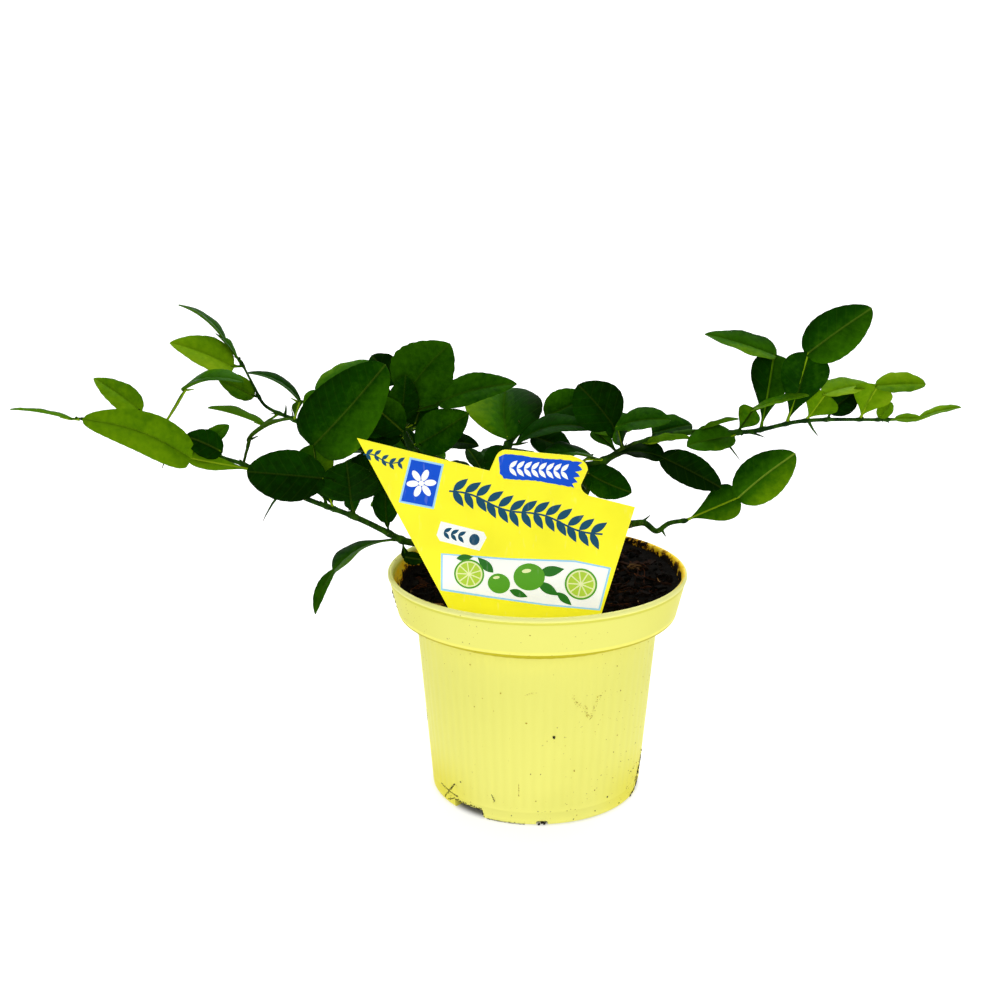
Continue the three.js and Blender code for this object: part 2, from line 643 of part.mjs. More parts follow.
// The soil: it fills the pot to just under the rim, with a slot where the stake goes in
function soilBody() {
  const collarFoot = potHeight - collarHeight;
  const clear = wall + gap;
  const edge = collarFootRadius - clear;
  const profile = [
    [0, floorThickness + gap],
    [footRadius - clear - stepClear.foot, floorThickness + gap],
    [shoulderRadius - clear - stepClear.side, collarFoot - stepClear.under],
    [shoulderRadius - clear + stepClear.side, collarFoot + stepClear.over],
    [edge - 2 * stepClear.side, collarFoot + wall + stepClear.inside],
    [edge, soilLevel - soilEdgeDrop],
    [edge - soilEdgeWidth, soilLevel - soilEdgeFall],
    [soilMidRadius, soilLevel],
    [soilFlatRadius, soilLevel],
    [0, soilLevel],
  ];
  const stepTop = collarFoot + wall + 0.4;
  const collarDraft = (rimRadius - 2.1 - collarFootRadius + wall) / (potHeight - 0.6 - stepTop);
  const ground = new THREE.LatheGeometry(profile.map(([r, z]) => new THREE.Vector2(r, z)), facets);
  ground.rotateX(Math.PI / 2);
  const places = ground.attributes.position;
  for (let number = 0; number < places.count; number += 1) {
    const [x, y, z] = [places.getX(number), places.getY(number), places.getZ(number)];
    const radius = Math.hypot(x, y);
    if (z > soilLevel - 2 * soilEdgeDrop && radius > soilFlatRadius + 1) {
      const height = z + soilSlope[0] * x + soilSlope[1] * y;
      const reach = radius > edge - 1 ? (edge + (height - stepTop) * collarDraft) / radius : 1;
      places.setXYZ(number, x * reach, y * reach, height);
    }
  }
  return solid(ground).subtract(labelBody(gap));
}

const plant = new THREE.Group();
plant.add(named("pot", potBody(), finishes.pot));
plant.add(named("soil", soilBody(), finishes.soil));
plant.add(named("plant_label", labelBody(0), finishes.label));

const trunkBody = solid(limb(trunkCurve, trunkRadius(0), trunkSides, trunkSteps));
const soilPlane = new THREE.BoxGeometry(soilCut.size, soilCut.size, soilCut.depth);
soilPlane.translate(...soilCut.centre, soilLevel + gap - soilCut.depth / 2);
plant.add(named("trunk", trunkBody.subtract(solid(soilPlane)), finishes.bark));

// Each bough is cut clear of the trunk and of the boughs made before it
let inTheWay = solid(limb(trunkCurve, trunkRadius(gap), trunkSides, trunkSteps, gap));
for (const shoot of shoots) {
  const wood = solid(limb(shoot.boughCurve, tapered(shoot.boughRadii), boughSides, boughSteps));
  plant.add(named(`${shoot.name}_bough`, largest(wood.subtract(inTheWay)), finishes.bark));
  const room = limb(shoot.boughCurve, tapered(shoot.boughRadii, gap), boughSides, boughSteps, gap);
  inTheWay = inTheWay.add(solid(room));
}

// Each mass: a three-sided stem with its twigs, leaves and thorns fused on
function massBody(shoot) {
  const length = shoot.stemCurve.getLength();
  const steps = Math.max(5, Math.round(length / stemStep));
  const parts = [solid(limb(shoot.stemCurve, tapered(shoot.stemRadii), stemSides, steps))];
  for (const twig of shoot.twigCurves) {
    parts.push(solid(limb(twig, tapered(twigRadii), stemSides, twigSteps)));
  }
  for (const plan of shoot.leafPlans) {
    parts.push(leafSolid(plan));
  }
  for (const [at, rise, away, reach] of shoot.thorns) {
    const root = shoot.stemCurve.getPointAt(at / length);
    const tip = root.clone().addScaledVector(heading(rise, away), reach);
    const thorn = routeOf([root.toArray(), root.clone().lerp(tip, 0.5).toArray(), tip.toArray()]);
    parts.push(solid(limb(thorn, tapered(thornRadii), stemSides, 1)));
  }
  return largest(wasm.Manifold.union(parts).subtract(inTheWay));
}

for (const shoot of shoots) {
  plant.add(named(`${shoot.name}_foliage`, massBody(shoot), finishes.foliage));
}

export default plant;
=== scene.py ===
# %% [markdown]
# # A young lime tree in its nursery pot
#
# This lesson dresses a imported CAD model. The CAD holds the pot, the soil, the label, the trunk, nine
# boughs and nine masses of foliage, all at their real size. Blender keeps every place and size, and
# makes what the eye wants: leaves with veins and wavy margins, green bark, crumbly soil, thin plastic.
#
# Everything is in metres in Blender. The plan of the plant is written in millimetres, as in the CAD.

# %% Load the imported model
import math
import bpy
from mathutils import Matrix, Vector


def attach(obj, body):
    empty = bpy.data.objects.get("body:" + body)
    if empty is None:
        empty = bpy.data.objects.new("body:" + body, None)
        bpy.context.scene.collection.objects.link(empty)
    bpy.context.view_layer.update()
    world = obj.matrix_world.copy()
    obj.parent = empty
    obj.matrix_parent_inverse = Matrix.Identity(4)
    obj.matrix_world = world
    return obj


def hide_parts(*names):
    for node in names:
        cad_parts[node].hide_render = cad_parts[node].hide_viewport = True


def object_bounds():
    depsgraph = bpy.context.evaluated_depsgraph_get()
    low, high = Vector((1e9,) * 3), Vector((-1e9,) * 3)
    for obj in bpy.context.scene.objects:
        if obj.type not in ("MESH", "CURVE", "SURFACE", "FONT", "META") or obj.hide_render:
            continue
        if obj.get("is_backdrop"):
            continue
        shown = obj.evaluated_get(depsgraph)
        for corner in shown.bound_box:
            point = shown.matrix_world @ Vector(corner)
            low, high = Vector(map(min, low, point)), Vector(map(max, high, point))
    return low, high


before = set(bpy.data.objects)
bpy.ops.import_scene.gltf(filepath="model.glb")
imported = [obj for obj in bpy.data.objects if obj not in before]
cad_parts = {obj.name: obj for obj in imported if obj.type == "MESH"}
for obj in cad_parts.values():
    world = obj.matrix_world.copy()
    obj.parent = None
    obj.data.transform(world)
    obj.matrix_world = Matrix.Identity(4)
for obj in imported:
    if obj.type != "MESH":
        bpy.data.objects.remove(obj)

# %% Tools, and the size of the CAD model
from types import SimpleNamespace

import bpy
import numpy as np
from mathutils import Matrix, Vector, noise

MM = 0.001
cad_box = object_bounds()
bpy.ops.object.select_all(action="DESELECT")
print("CAD box in mm:", [[round(side / MM) for side in corner] for corner in cad_box])

# %% [markdown]
# ## Light, floor and camera
#
# The picture shows the plant a little from above, so the camera looks down by about fifteen degrees.
# Its lens and distance were worked out from the pot's rim, a circle that shows as an ellipse.
# The floor is plain and pale, and runs up into a wall far behind, so that no edge shows.

# %% Camera
CAMERA_AIM = Vector((-16.1, 0, 129.7)) * MM
CAMERA_DISTANCE = 589 * MM
CAMERA_PITCH = math.radians(15.2)
CAMERA_LENS = 49.37


def placed(name, data, place, back):
    """Puts a camera or a lamp at a place, with its back in this direction."""
    thing = bpy.data.objects.new(name, data)
    bpy.context.collection.objects.link(thing)
    thing.location = place
    thing.rotation_euler = back.to_track_quat("Z", "Y").to_euler()
    return thing


camera_data = bpy.data.cameras.new("camera")
camera_data.lens = CAMERA_LENS
camera_data.sensor_width = 36
back = Vector((0, -math.cos(CAMERA_PITCH), math.sin(CAMERA_PITCH)))
camera = placed("camera", camera_data, CAMERA_AIM + back * CAMERA_DISTANCE, back)
bpy.context.scene.camera = camera
print("camera at", [round(side, 3) for side in camera.location])


# %% Helpers that pick faces or points by their place, as a maker would by hand
def only(piece):
    """Selects one piece and nothing else."""
    bpy.ops.object.select_all(action="DESELECT")
    piece.select_set(True)
    bpy.context.view_layer.objects.active = piece


def edit(piece, action="DESELECT"):
    """Goes into edit mode on one piece, with nothing selected, or all of it after SELECT."""
    only(piece)
    bpy.ops.object.mode_set(mode="EDIT")
    bpy.ops.mesh.select_all(action=action)


def leave_edit():
    """Goes back to object mode with nothing selected."""
    bpy.ops.object.mode_set(mode="OBJECT")
    bpy.ops.object.select_all(action="DESELECT")


def pick(piece, kind, wanted):
    """Selects the vertices, edges or faces of a piece that wanted says yes to. It starts in edit mode."""
    bpy.ops.object.mode_set(mode="OBJECT")
    for group in (piece.data.vertices, piece.data.edges, piece.data.polygons):
        for item in group:
            item.select = False
    for item in getattr(piece.data, kind):
        item.select = bool(wanted(item))
    bpy.ops.object.mode_set(mode="EDIT")


# %% Helpers that change, finish and hand over a piece
def use(piece, kind, **values):
    """Adds a modifier with these settings and applies it."""
    modifier = piece.modifiers.new(kind.title(), kind)
    for name, value in values.items():
        setattr(modifier, name, value)
    only(piece)
    bpy.ops.object.modifier_apply(modifier=modifier.name)
    bpy.ops.object.select_all(action="DESELECT")


def settle(piece, name):
    """Puts a piece's place into its mesh, so that its object sits at the origin."""
    only(piece)
    bpy.ops.object.transform_apply(location=True, rotation=True, scale=True)
    bpy.ops.object.select_all(action="DESELECT")
    piece.name = name
    piece.data.name = name
    return piece


def soften(piece, degrees):
    """Smooth shading, with the edges sharper than this left crisp."""
    only(piece)
    bpy.ops.object.shade_smooth_by_angle(angle=math.radians(degrees))
    bpy.ops.object.select_all(action="DESELECT")


def from_points(name, points, edges=(), faces=()):
    """An object from points in millimetres and the edges or faces between them."""
    mesh = bpy.data.meshes.new(name)
    mesh.from_pydata((np.asarray(points, float) * MM).tolist(), edges, faces)
    piece = bpy.data.objects.new(name, mesh)
    bpy.context.collection.objects.link(piece)
    return piece


def kept(piece, finish, slot, *nodes):
    """Gives a piece its material and ties it to the CAD: its body and the nodes it stands for. slot is not
    used.
    """
    piece.data.materials.append(finish.material)
    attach(piece, "root")
    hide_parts(*nodes)
    print(piece.name, "has", len(piece.data.polygons), "faces")


# %% Floor and wall
FLOOR_HALF = 4.0
WALL_BEHIND = 3.0
WALL_HEIGHT = 3.5
WALL_CURVE = 1.2
NEAR = 0.01

bpy.ops.mesh.primitive_plane_add(size=2 * FLOOR_HALF, location=(0, WALL_BEHIND - FLOOR_HALF, 0))
floor = bpy.context.object


def ends_of(edge):
    """Where the two ends of one of the floor's edges are."""
    return [floor.matrix_world @ floor.data.vertices[end].co for end in edge.vertices]


edit(floor)
pick(floor, "edges", lambda edge: all(end.y > WALL_BEHIND - NEAR for end in ends_of(edge)))
bpy.ops.mesh.extrude_region_move(TRANSFORM_OT_translate={"value": (0, 0, WALL_HEIGHT)})
pick(floor, "edges", lambda edge: all(
    abs(end.y - WALL_BEHIND) < NEAR and abs(end.z) < NEAR for end in ends_of(edge)))
bpy.ops.mesh.bevel(offset=WALL_CURVE, segments=24, profile=0.5)
leave_edit()
settle(floor, "floor")
soften(floor, 60)
floor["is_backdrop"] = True
print("floor and wall", len(floor.data.polygons), "faces")

# %% Lights
PLANT_MIDDLE = (0, 0, 0.12)
WALL_MIDDLE = (0, 2.9, 0.6)
WORLD_STRENGTH = 0.2
# Square soft boxes, as place, what they light, size in metres and power in watts
LIGHTS = {"key_light": ((-0.4, -1.7, 1.0), PLANT_MIDDLE, 0.9, 8),
          "fill_light": ((1.3, -1.1, 0.5), PLANT_MIDDLE, 1.2, 2.5),
          "top_light": ((0.1, 0.3, 1.9), PLANT_MIDDLE, 1.4, 14),
          "wall_light": ((0, 1.2, 2.6), WALL_MIDDLE, 2.5, 60)}

for name, (place, aim, size, power) in LIGHTS.items():
    data = bpy.data.lights.new(name, "AREA")
    data.shape = "SQUARE"
    data.size = size
    data.energy = power
    placed(name, data, place, Vector(place) - Vector(aim))
world = bpy.data.worlds.new("studio")
bpy.context.scene.world = world
world.use_nodes = True
world.node_tree.nodes["Background"].inputs["Color"].default_value = (1, 1, 1, 1)
world.node_tree.nodes["Background"].inputs["Strength"].default_value = WORLD_STRENGTH
bpy.context.scene.view_settings.view_transform = "Standard"
print("lights", len(LIGHTS))

# %% [markdown]
# ## Finishes
#
# A finish is a small tree of shader nodes. Written out node by node it is long and hard to read, so a
# socket is wrapped in a class that knows Python's arithmetic. An expression such as 1 - mask * 0.5
# then adds its own Math nodes.


# %% Colours as a screen shows them
def shade(red, green, blue):
    """A colour as seen on a screen, from 0 to 255 each, in the linear values that shaders use."""
    return tuple(((part / 255 + 0.055) / 1.055) ** 2.4 if part > 10 else part / 255 / 12.92
                 for part in (red, green, blue))


# %% Shader arithmetic
class Wire:
    """A shader socket that Python's arithmetic works on."""

    def __init__(self, finish, socket):
        self.finish = finish
        self.socket = socket

    def maths(self, operation, *others):
        return self.finish.node("ShaderNodeMath", dict(enumerate([self, *others])), operation=operation)

    def __add__(self, other):
        return self.maths("ADD", other)

    def __sub__(self, other):
        return self.maths("SUBTRACT", other)

    def __mul__(self, other):
        return self.maths("MULTIPLY", other)

    def __rsub__(self, other):
        return self.finish.node("ShaderNodeMath", {0: other, 1: self}, operation="SUBTRACT")

    __radd__ = __add__
    __rmul__ = __mul__

    def rise(self, low, high):
        """0 below low and 1 above high, with a smooth step between. low may be the higher one."""
        return self.finish.node(
            "ShaderNodeMapRange", {"Value": self, "From Min": low, "From Max": high},
            interpolation_type="SMOOTHSTEP")


# %% A material made by a few plain calls
class Finish:
    """A material whose nodes are added by a few plain calls."""

    def __init__(self, name, **constants):
        self.material = bpy.data.materials.new(name)
        self.material.use_nodes = True
        self.tree = self.material.node_tree
        self.surface = self.tree.nodes["Principled BSDF"]
        for key, value in constants.items():
            self.surface.inputs[key.replace("_", " ").title().replace("Ior", "IOR")].default_value = value

    def node(self, kind, sockets=(), output=0, stops=None, **settings):
        made = self.tree.nodes.new(kind)
        for key, value in settings.items():
            setattr(made, key, value)
        if stops:
            ramp = made.color_ramp.elements
            while len(ramp) < len(stops):
                ramp.new(1)
            for element, (place, colour) in zip(ramp, stops):
                element.position = place
                element.color = (*colour, 1)
        for key, value in dict(sockets).items():
            if isinstance(value, Wire):
                self.tree.links.new(value.socket, made.inputs[key])
            elif made.inputs[key].type == "RGBA":
                made.inputs[key].default_value = (*value, 1)
            else:
                made.inputs[key].default_value = value
        return Wire(self, made.outputs[output])

    def place(self):
        """Object coordinates: metres in the part's own frame."""
        return self.node("ShaderNodeTexCoord", output="Object")

    def split(self, vector):
        """The X, Y and Z of a vector."""
        made = self.node("ShaderNodeSeparateXYZ", {0: vector})
        return [made] + [Wire(self, made.socket.node.outputs[axis]) for axis in (1, 2)]

    def noise(self, scale, detail=3, rough=0.5, stretch=None):
        """Cloudy noise from 0 to 1, at so many lumps to the metre."""
        where = self.place()
        if stretch:
            where = self.node("ShaderNodeMapping", {"Vector": where, "Scale": stretch})
        return self.node("ShaderNodeTexNoise", {
            "Vector": where, "Scale": scale, "Detail": detail, "Roughness": rough})

    def mix(self, under, over, share):
        """Two colours, mixed by a share from 0 to 1."""
        return self.node(
            "ShaderNodeMix", {"Factor": share, 6: under, 7: over}, output=2, data_type="RGBA")

    def paint(self, under, colour, share):
        """A colour, as seen on a screen, laid over another by a share from 0 to 1."""
        return self.mix(under, shade(*colour), share)

    def tint(self):
        """The three values that a heap gives to each of its points."""
        return self.node("ShaderNodeVertexColor", layer_name="tint")

    def from_axis(self, across, deep):
        """Distance from the Z axis."""
        flat = self.node("ShaderNodeCombineXYZ", {0: across, 1: deep})
        return self.node("ShaderNodeVectorMath", {0: flat}, output=1, operation="LENGTH")

    def wear(self, name, wire):
        self.tree.links.new(wire.socket, self.surface.inputs[name])

    def relief(self, height, depth):
        """Bump, with depth in millimetres."""
        self.wear("Normal", self.node("ShaderNodeBump", {
            "Height": height, "Distance": depth * MM, "Strength": 1.0}))


# %% Finish of the floor
FLOOR_GLOW = 0.8
SHADOW_FROM, SHADOW_TO = 0.0425, 0.048
paper = Finish("floor_paper", specular_ior_level=0.1, emission_strength=FLOOR_GLOW)
tooth = paper.noise(90, 4)
paper.wear("Base Color", paper.mix((0.48, 0.48, 0.48), (0.52, 0.52, 0.52), tooth))
x, y, _ = paper.split(paper.place())
glow = paper.from_axis(x, y).rise(SHADOW_FROM, SHADOW_TO)
paper.wear("Emission Color", paper.mix((0.02, 0.02, 0.02), (1, 1, 1), glow))
paper.wear("Roughness", 0.85 + tooth * 0.1)
paper.relief(paper.noise(700, 3), 0.02)
floor.data.materials.append(paper.material)
print("floor finished")


# %% [markdown]
# ## The pot
#
# A nursery pot is blown or moulded thin, with a stepped collar that lets one pot nest in the next.
# It is round, so its section is drawn once and spun. Faint flutes run down the body, the foot has
# notches for water to leave by, and its floor has holes. A lathe shape with cuts keeps all of that
# true to size, and the flutes are small enough to be moved in as waves of the wall.

# %% Sizes of the pot, in millimetres
RIM_RADIUS = 65
POT_HEIGHT = 99.3
COLLAR_FOOT = POT_HEIGHT - 18
COLLAR_FOOT_RADIUS = 60.9
SHOULDER_RADIUS = 53
FOOT_RADIUS = 46.4
WALL = 1.3
FLOOR_THICKNESS = 2.4
SPIN_STEPS = 288
FLUTES = 72
FLUTE_DEPTH = 0.13
WIDE_NOTCH = {"width": 16, "height": 4, "first": -130}
NARROW_NOTCH = {"width": 5, "height": 2, "first": -88}
NOTCHES_OF_EACH = 3
FLUTES_FROM = 6.6
WELD, NEAR_AXIS, AXIS_WELD = 0.005, 0.02, 0.03
STIFF_FLOOR_RADIUS = 40
SOIL_LEVEL = 92
SOIL_SLOPE = (0.05, 0.08)
GAP = 0.3


# %% Section of the pot's wall, as (radius, height)
def body_radius(height):
    """Radius of the outer wall below the shoulder."""
    share = (height - 1) / (COLLAR_FOOT - 3)
    return FOOT_RADIUS + (SHOULDER_RADIUS - FOOT_RADIUS) * share


def collar_radius(height):
    """Radius of the collar's outer wall."""
    share = (height - COLLAR_FOOT - 0.6) / (POT_HEIGHT - COLLAR_FOOT - 2.8)
    return COLLAR_FOOT_RADIUS + (RIM_RADIUS - 0.5 - COLLAR_FOOT_RADIUS) * share


def sway(angle):
    """How far the wall, which is never quite round, stands in at this angle."""
    return 0.12 * np.sin(2 * angle + 0.6) + 0.08 * np.sin(3 * angle + 2) - 0.2


pot_section = [(0.01, 0), (20, 0), (FOOT_RADIUS - 1.4, 0), (FOOT_RADIUS - 0.5, 0.25), (FOOT_RADIUS, 1)]
for height in (3, 5.4, 5.7, 6.1, 6.5, 9, 16, 26, 36, 46, 56, 66, 73, 77, 78.6):
    ring_line = -0.09 if height in (5.7, 6.1) else 0
    pot_section.append((body_radius(height) + ring_line, height))
pot_section += [
    (SHOULDER_RADIUS + 0.05, COLLAR_FOOT - 1.9), (SHOULDER_RADIUS + 0.3, COLLAR_FOOT - 1.1),
    (SHOULDER_RADIUS + 0.9, COLLAR_FOOT - 0.65), (COLLAR_FOOT_RADIUS - 1.6, COLLAR_FOOT - 0.4),
    (COLLAR_FOOT_RADIUS - 0.8, COLLAR_FOOT - 0.25), (COLLAR_FOOT_RADIUS - 0.25, COLLAR_FOOT + 0.1),
    (COLLAR_FOOT_RADIUS, COLLAR_FOOT + 0.6)]
for height in (83.5, 86, 89, 92, 94.5, 96.6):
    pot_section.append((collar_radius(height), height))
pot_section += [
    (RIM_RADIUS - 0.62, 97), (RIM_RADIUS - 0.3, 97.3), (RIM_RADIUS - 0.05, 97.7), (RIM_RADIUS, 98.3),
    (RIM_RADIUS - 0.08, 98.8), (RIM_RADIUS - 0.4, 99.2), (RIM_RADIUS - 0.9, POT_HEIGHT),
    (RIM_RADIUS - 1.5, 99.2), (RIM_RADIUS - 1.95, 98.8), (RIM_RADIUS - 2.15, 98.2)]
for height in (95, 92, 89, 86):
    pot_section.append((collar_radius(height) - WALL - 0.25, height))
pot_section += [
    (COLLAR_FOOT_RADIUS - WALL, COLLAR_FOOT + 1.7), (SHOULDER_RADIUS - WALL + 0.5, COLLAR_FOOT + 0.6),
    (SHOULDER_RADIUS - WALL, COLLAR_FOOT - 1.4), (body_radius(40) - WALL, 40),
    (FOOT_RADIUS - WALL, FLOOR_THICKNESS), (20, FLOOR_THICKNESS), (0.01, FLOOR_THICKNESS)]
print("section of the pot:", len(pot_section), "points")


# %% Spin the section, and give the wall its flutes and its sway
def spun(name, section, steps):
    """Spins a section of (radius, height) points about the Z axis into one closed mesh."""
    points = [(radius, 0, height) for radius, height in section]
    piece = from_points(name, points, [(number, number + 1) for number in range(len(points) - 1)])
    edit(piece, "SELECT")
    bpy.ops.mesh.spin(steps=steps, angle=math.tau, center=(0, 0, 0), axis=(0, 0, 1))
    bpy.ops.mesh.select_all(action="SELECT")
    bpy.ops.mesh.remove_doubles(threshold=WELD * MM)
    leave_edit()
    edit(piece)
    pick(piece, "vertices", lambda point: math.hypot(point.co.x, point.co.y) < NEAR_AXIS * MM)
    bpy.ops.mesh.remove_doubles(threshold=AXIS_WELD * MM)
    bpy.ops.mesh.select_all(action="SELECT")
    bpy.ops.mesh.normals_make_consistent(inside=False)
    leave_edit()
    return piece


def points_of(piece):
    """The places of a piece's points, in millimetres."""
    places = np.empty(3 * len(piece.data.vertices))
    piece.data.vertices.foreach_get("co", places)
    return places.reshape(-1, 3) / MM


def move_points(piece, places):
    """Puts a piece's points at these places, in millimetres."""
    piece.data.vertices.foreach_set("co", np.ascontiguousarray(places * MM, dtype=float).ravel())
    piece.data.update()


pot = spun("pot_plastic", pot_section, SPIN_STEPS)
places = points_of(pot)
radius, angle = np.hypot(places[:, 0], places[:, 1]), np.arctan2(places[:, 1], places[:, 0])
outside = radius > np.array([body_radius(height) - 0.6 * WALL for height in places[:, 2]])
fluted = outside & (places[:, 2] > FLUTES_FROM) & (places[:, 2] < COLLAR_FOOT - 2.5)
flute = np.where(fluted, FLUTE_DEPTH * (np.cos(FLUTES * angle) - 1), 0)
flute = flute + np.where(radius > STIFF_FLOOR_RADIUS, sway(angle), 0)
places[:, :2] *= (1 + flute / np.maximum(radius, 1))[:, None]
move_points(pot, places)
print("pot, before its cuts:", len(pot.data.polygons), "faces")


# %% Notches and drain holes
NOTCH_DEPTH, NOTCH_ROUNDING = 8, 0.9
DRAIN_HOLES, DRAIN_CIRCLE, DRAIN_RADIUS, DRILL_LENGTH = 6, 26, 3.5, 12


def cut_away(piece, cutter):
    """Takes the cutter's shape out of a piece, and removes the cutter."""
    use(piece, "BOOLEAN", object=cutter, operation="DIFFERENCE", solver="EXACT")
    bpy.data.objects.remove(cutter)


for notch in (WIDE_NOTCH, NARROW_NOTCH):
    for number in range(NOTCHES_OF_EACH):
        turn = math.radians(notch["first"] + 360 / NOTCHES_OF_EACH * number)
        place = Vector((FOOT_RADIUS * math.cos(turn), FOOT_RADIUS * math.sin(turn), 0)) * MM
        size = (2 * NOTCH_DEPTH * MM, notch["width"] * MM, 2 * notch["height"] * MM)
        bpy.ops.mesh.primitive_cube_add(size=1, location=place, rotation=(0, 0, turn), scale=size)
        cutter = bpy.context.object
        use(cutter, "BEVEL", width=NOTCH_ROUNDING * MM, segments=4)
        cut_away(pot, cutter)
for number in range(DRAIN_HOLES):
    turn = math.tau * number / DRAIN_HOLES
    place = (DRAIN_CIRCLE * MM * math.cos(turn), DRAIN_CIRCLE * MM * math.sin(turn), 0)
    bpy.ops.mesh.primitive_cylinder_add(
        vertices=32, radius=DRAIN_RADIUS * MM, depth=DRILL_LENGTH * MM, location=place)
    cut_away(pot, bpy.context.object)
soften(pot, 32)
print("pot:", len(pot.data.polygons), "faces")

# %% [markdown]
# The plastic is a pale lemon yellow. Its colour is painted lighter towards the bottom. Painted shade
# deepens the foot and the collar at their left and right sides and darkens the flutes' grooves, the
# groove under the collar and a line under the lip; painted highlights pale the rim and the collar's
# lower edge. Above the soil line the inner wall is stained ochre and freckled with dirt. Each of these
# is a colour laid over the last by a soft mask made from height, from the distance to the axis or from
# noise, so the whole finish is a list of colours and shares.

# %% Finish of the pot
INNER_DRAFT, INNER_FOOT = 0.2236, 81.9
plastic = Finish("pot_plastic", ior=1.49, specular_ior_level=0.06)
across, deep, high = plastic.split(plastic.place())
cloud = plastic.noise(16, 3)
fine = plastic.noise(1400, 2)
aside = across.maths("ABSOLUTE")
flutes = 0.5 - (deep.maths("ARCTAN2", across) * FLUTES).maths("COSINE") * 0.5
from_axis = plastic.from_axis(across, deep) * (1 / MM)
inner_wall = ((from_axis - (high * (1 / MM) - INNER_FOOT) * INNER_DRAFT).rise(60.4, 59.9)
              * high.rise(0.0825, 0.084))
over_soil = high - 0.0912 - across * SOIL_SLOPE[0] - deep * SOIL_SLOPE[1]
stain = plastic.noise(240, 5, rough=0.62).rise(0.38, 0.62)
freckle = plastic.noise(900, 2).rise(0.63, 0.7)
splash = plastic.noise(190, 4, rough=0.75) + over_soil.rise(0.0055, -0.0005) * 0.26
dust = plastic.noise(700, 1).rise(0.73, 0.78) * plastic.noise(22, 2).rise(0.52, 0.64)
layers = [
    # The outside: painted shade deepening the foot's and the collar's left and right sides and the flutes'
    # grooves, and a painted highlight on the rim
    ((248, 236, 36), high.rise(0.03, 0.001) * aside.rise(0.02, 0.046) * 0.85),
    ((230, 224, 70), aside.rise(0.034, 0.062) * high.rise(0.08, 0.083) * 0.45),
    ((222, 216, 84), flutes * high.rise(0.078, 0.05) * high.rise(0.006, 0.009) * 0.08),
    ((248, 248, 160), high.rise(0.0965, 0.0985) * 0.8),
    ((228, 226, 104), cloud.rise(0.5, 0.75) * 0.3),
    # Painted shade in the groove under the collar, a painted highlight on the collar's lower edge and a
    # painted shade line under the lip
    ((190, 178, 18), high.rise(0.0773, 0.0779) * high.rise(0.0824, 0.082) * 0.95),
    ((255, 250, 120), high.rise(0.0821, 0.0824) * high.rise(0.084, 0.083) * 0.8),
    ((222, 220, 78), high.rise(0.0958, 0.0962) * high.rise(0.0974, 0.097) * 0.7),
    # The stained band inside the rim, with freckles and the soil splashed up it
    ((255, 210, 18), inner_wall * over_soil.rise(0.0085, 0.0055) * (0.75 + stain * 0.25)),
    ((96, 66, 14), inner_wall * freckle * over_soil.rise(0.009, 0.004) * 0.7),
    ((150, 88, 12), inner_wall * splash.rise(0.58, 0.66) * 0.85),
    ((22, 14, 8), inner_wall * splash.rise(0.65, 0.7)),
    # Fine specks of dust outside
    ((140, 118, 44), dust * 0.6)]
# The base colour is painted lighter towards the bottom, a painted light where less light reaches the pot.
colour = plastic.mix(shade(243, 241, 125), shade(255, 252, 134), high.rise(0.07, 0.008))
for paint, share in layers:
    colour = plastic.paint(colour, paint, share)
plastic.wear("Base Color", colour)
plastic.wear("Roughness", 0.36 + cloud * 0.14 + dust * 0.3 + inner_wall * 0.25)
plastic.relief(fine * 0.3 + plastic.noise(110, 2), 0.06)
kept(pot, plastic, "pot", "pot")

# %% [markdown]
# ## The soil
#
# Potting soil is peat, bark and fibre, nearly black when wet. It is a spun body whose top is pushed
# about by noise, then strewn with crumbs, chips and fibres. One crumb and one chip are modelled, and
# each copy gets its own turn, size and dents, because repeats are cheap and the eye reads the heap.

# %% Sizes and body of the soil
SOIL_SPIN_STEPS = 240
SOIL_EDGE_DROP = 1.2
SOIL_FLAT_RADIUS = 20
EDGE_FALL, EDGE_FALL_WIDTH = 0.8, 7
SOIL_SINK, LUMP_MEAN = 0.1, 0.5
STEP_TOP = COLLAR_FOOT + WALL + 0.4
COLLAR_DRAFT = (RIM_RADIUS - 2.1 - COLLAR_FOOT_RADIUS + WALL) / (POT_HEIGHT - 0.6 - STEP_TOP)
SOIL_EDGE = COLLAR_FOOT_RADIUS - WALL - GAP


def edge_drop(radius):
    """How far the heap falls off near its edge."""
    return max(0, (radius - SOIL_EDGE + EDGE_FALL_WIDTH) / EDGE_FALL_WIDTH) ** 2 * EDGE_FALL


soil_section = [
    (0.01, FLOOR_THICKNESS + GAP), (FOOT_RADIUS - 1.9, FLOOR_THICKNESS + GAP),
    (SHOULDER_RADIUS - 1.8, COLLAR_FOOT - 2), (SHOULDER_RADIUS - 1.4, COLLAR_FOOT + 1.4),
    (SOIL_EDGE - 0.4, COLLAR_FOOT + 2.5), (SOIL_EDGE, SOIL_LEVEL - SOIL_EDGE_DROP)]
for radius in np.arange(SOIL_EDGE - 0.7, 1, -0.85):
    soil_section.append((radius, SOIL_LEVEL - SOIL_SINK - edge_drop(radius)))
soil_section.append((0.01, SOIL_LEVEL - SOIL_SINK))
soil = spun("soil_body", soil_section, SOIL_SPIN_STEPS)
print("section of the soil:", len(soil_section), "points")


# %% Heights of the heap
def soil_height(x, y):
    """Height of the heap's smooth top, without lumps."""
    radius = math.hypot(x, y)
    level = SOIL_LEVEL + SOIL_SLOPE[0] * x + SOIL_SLOPE[1] * y
    share = min(1, max(0, (radius - SOIL_FLAT_RADIUS + 4) / 8))
    return SOIL_LEVEL * (1 - share) + level * share - SOIL_SINK - edge_drop(radius)


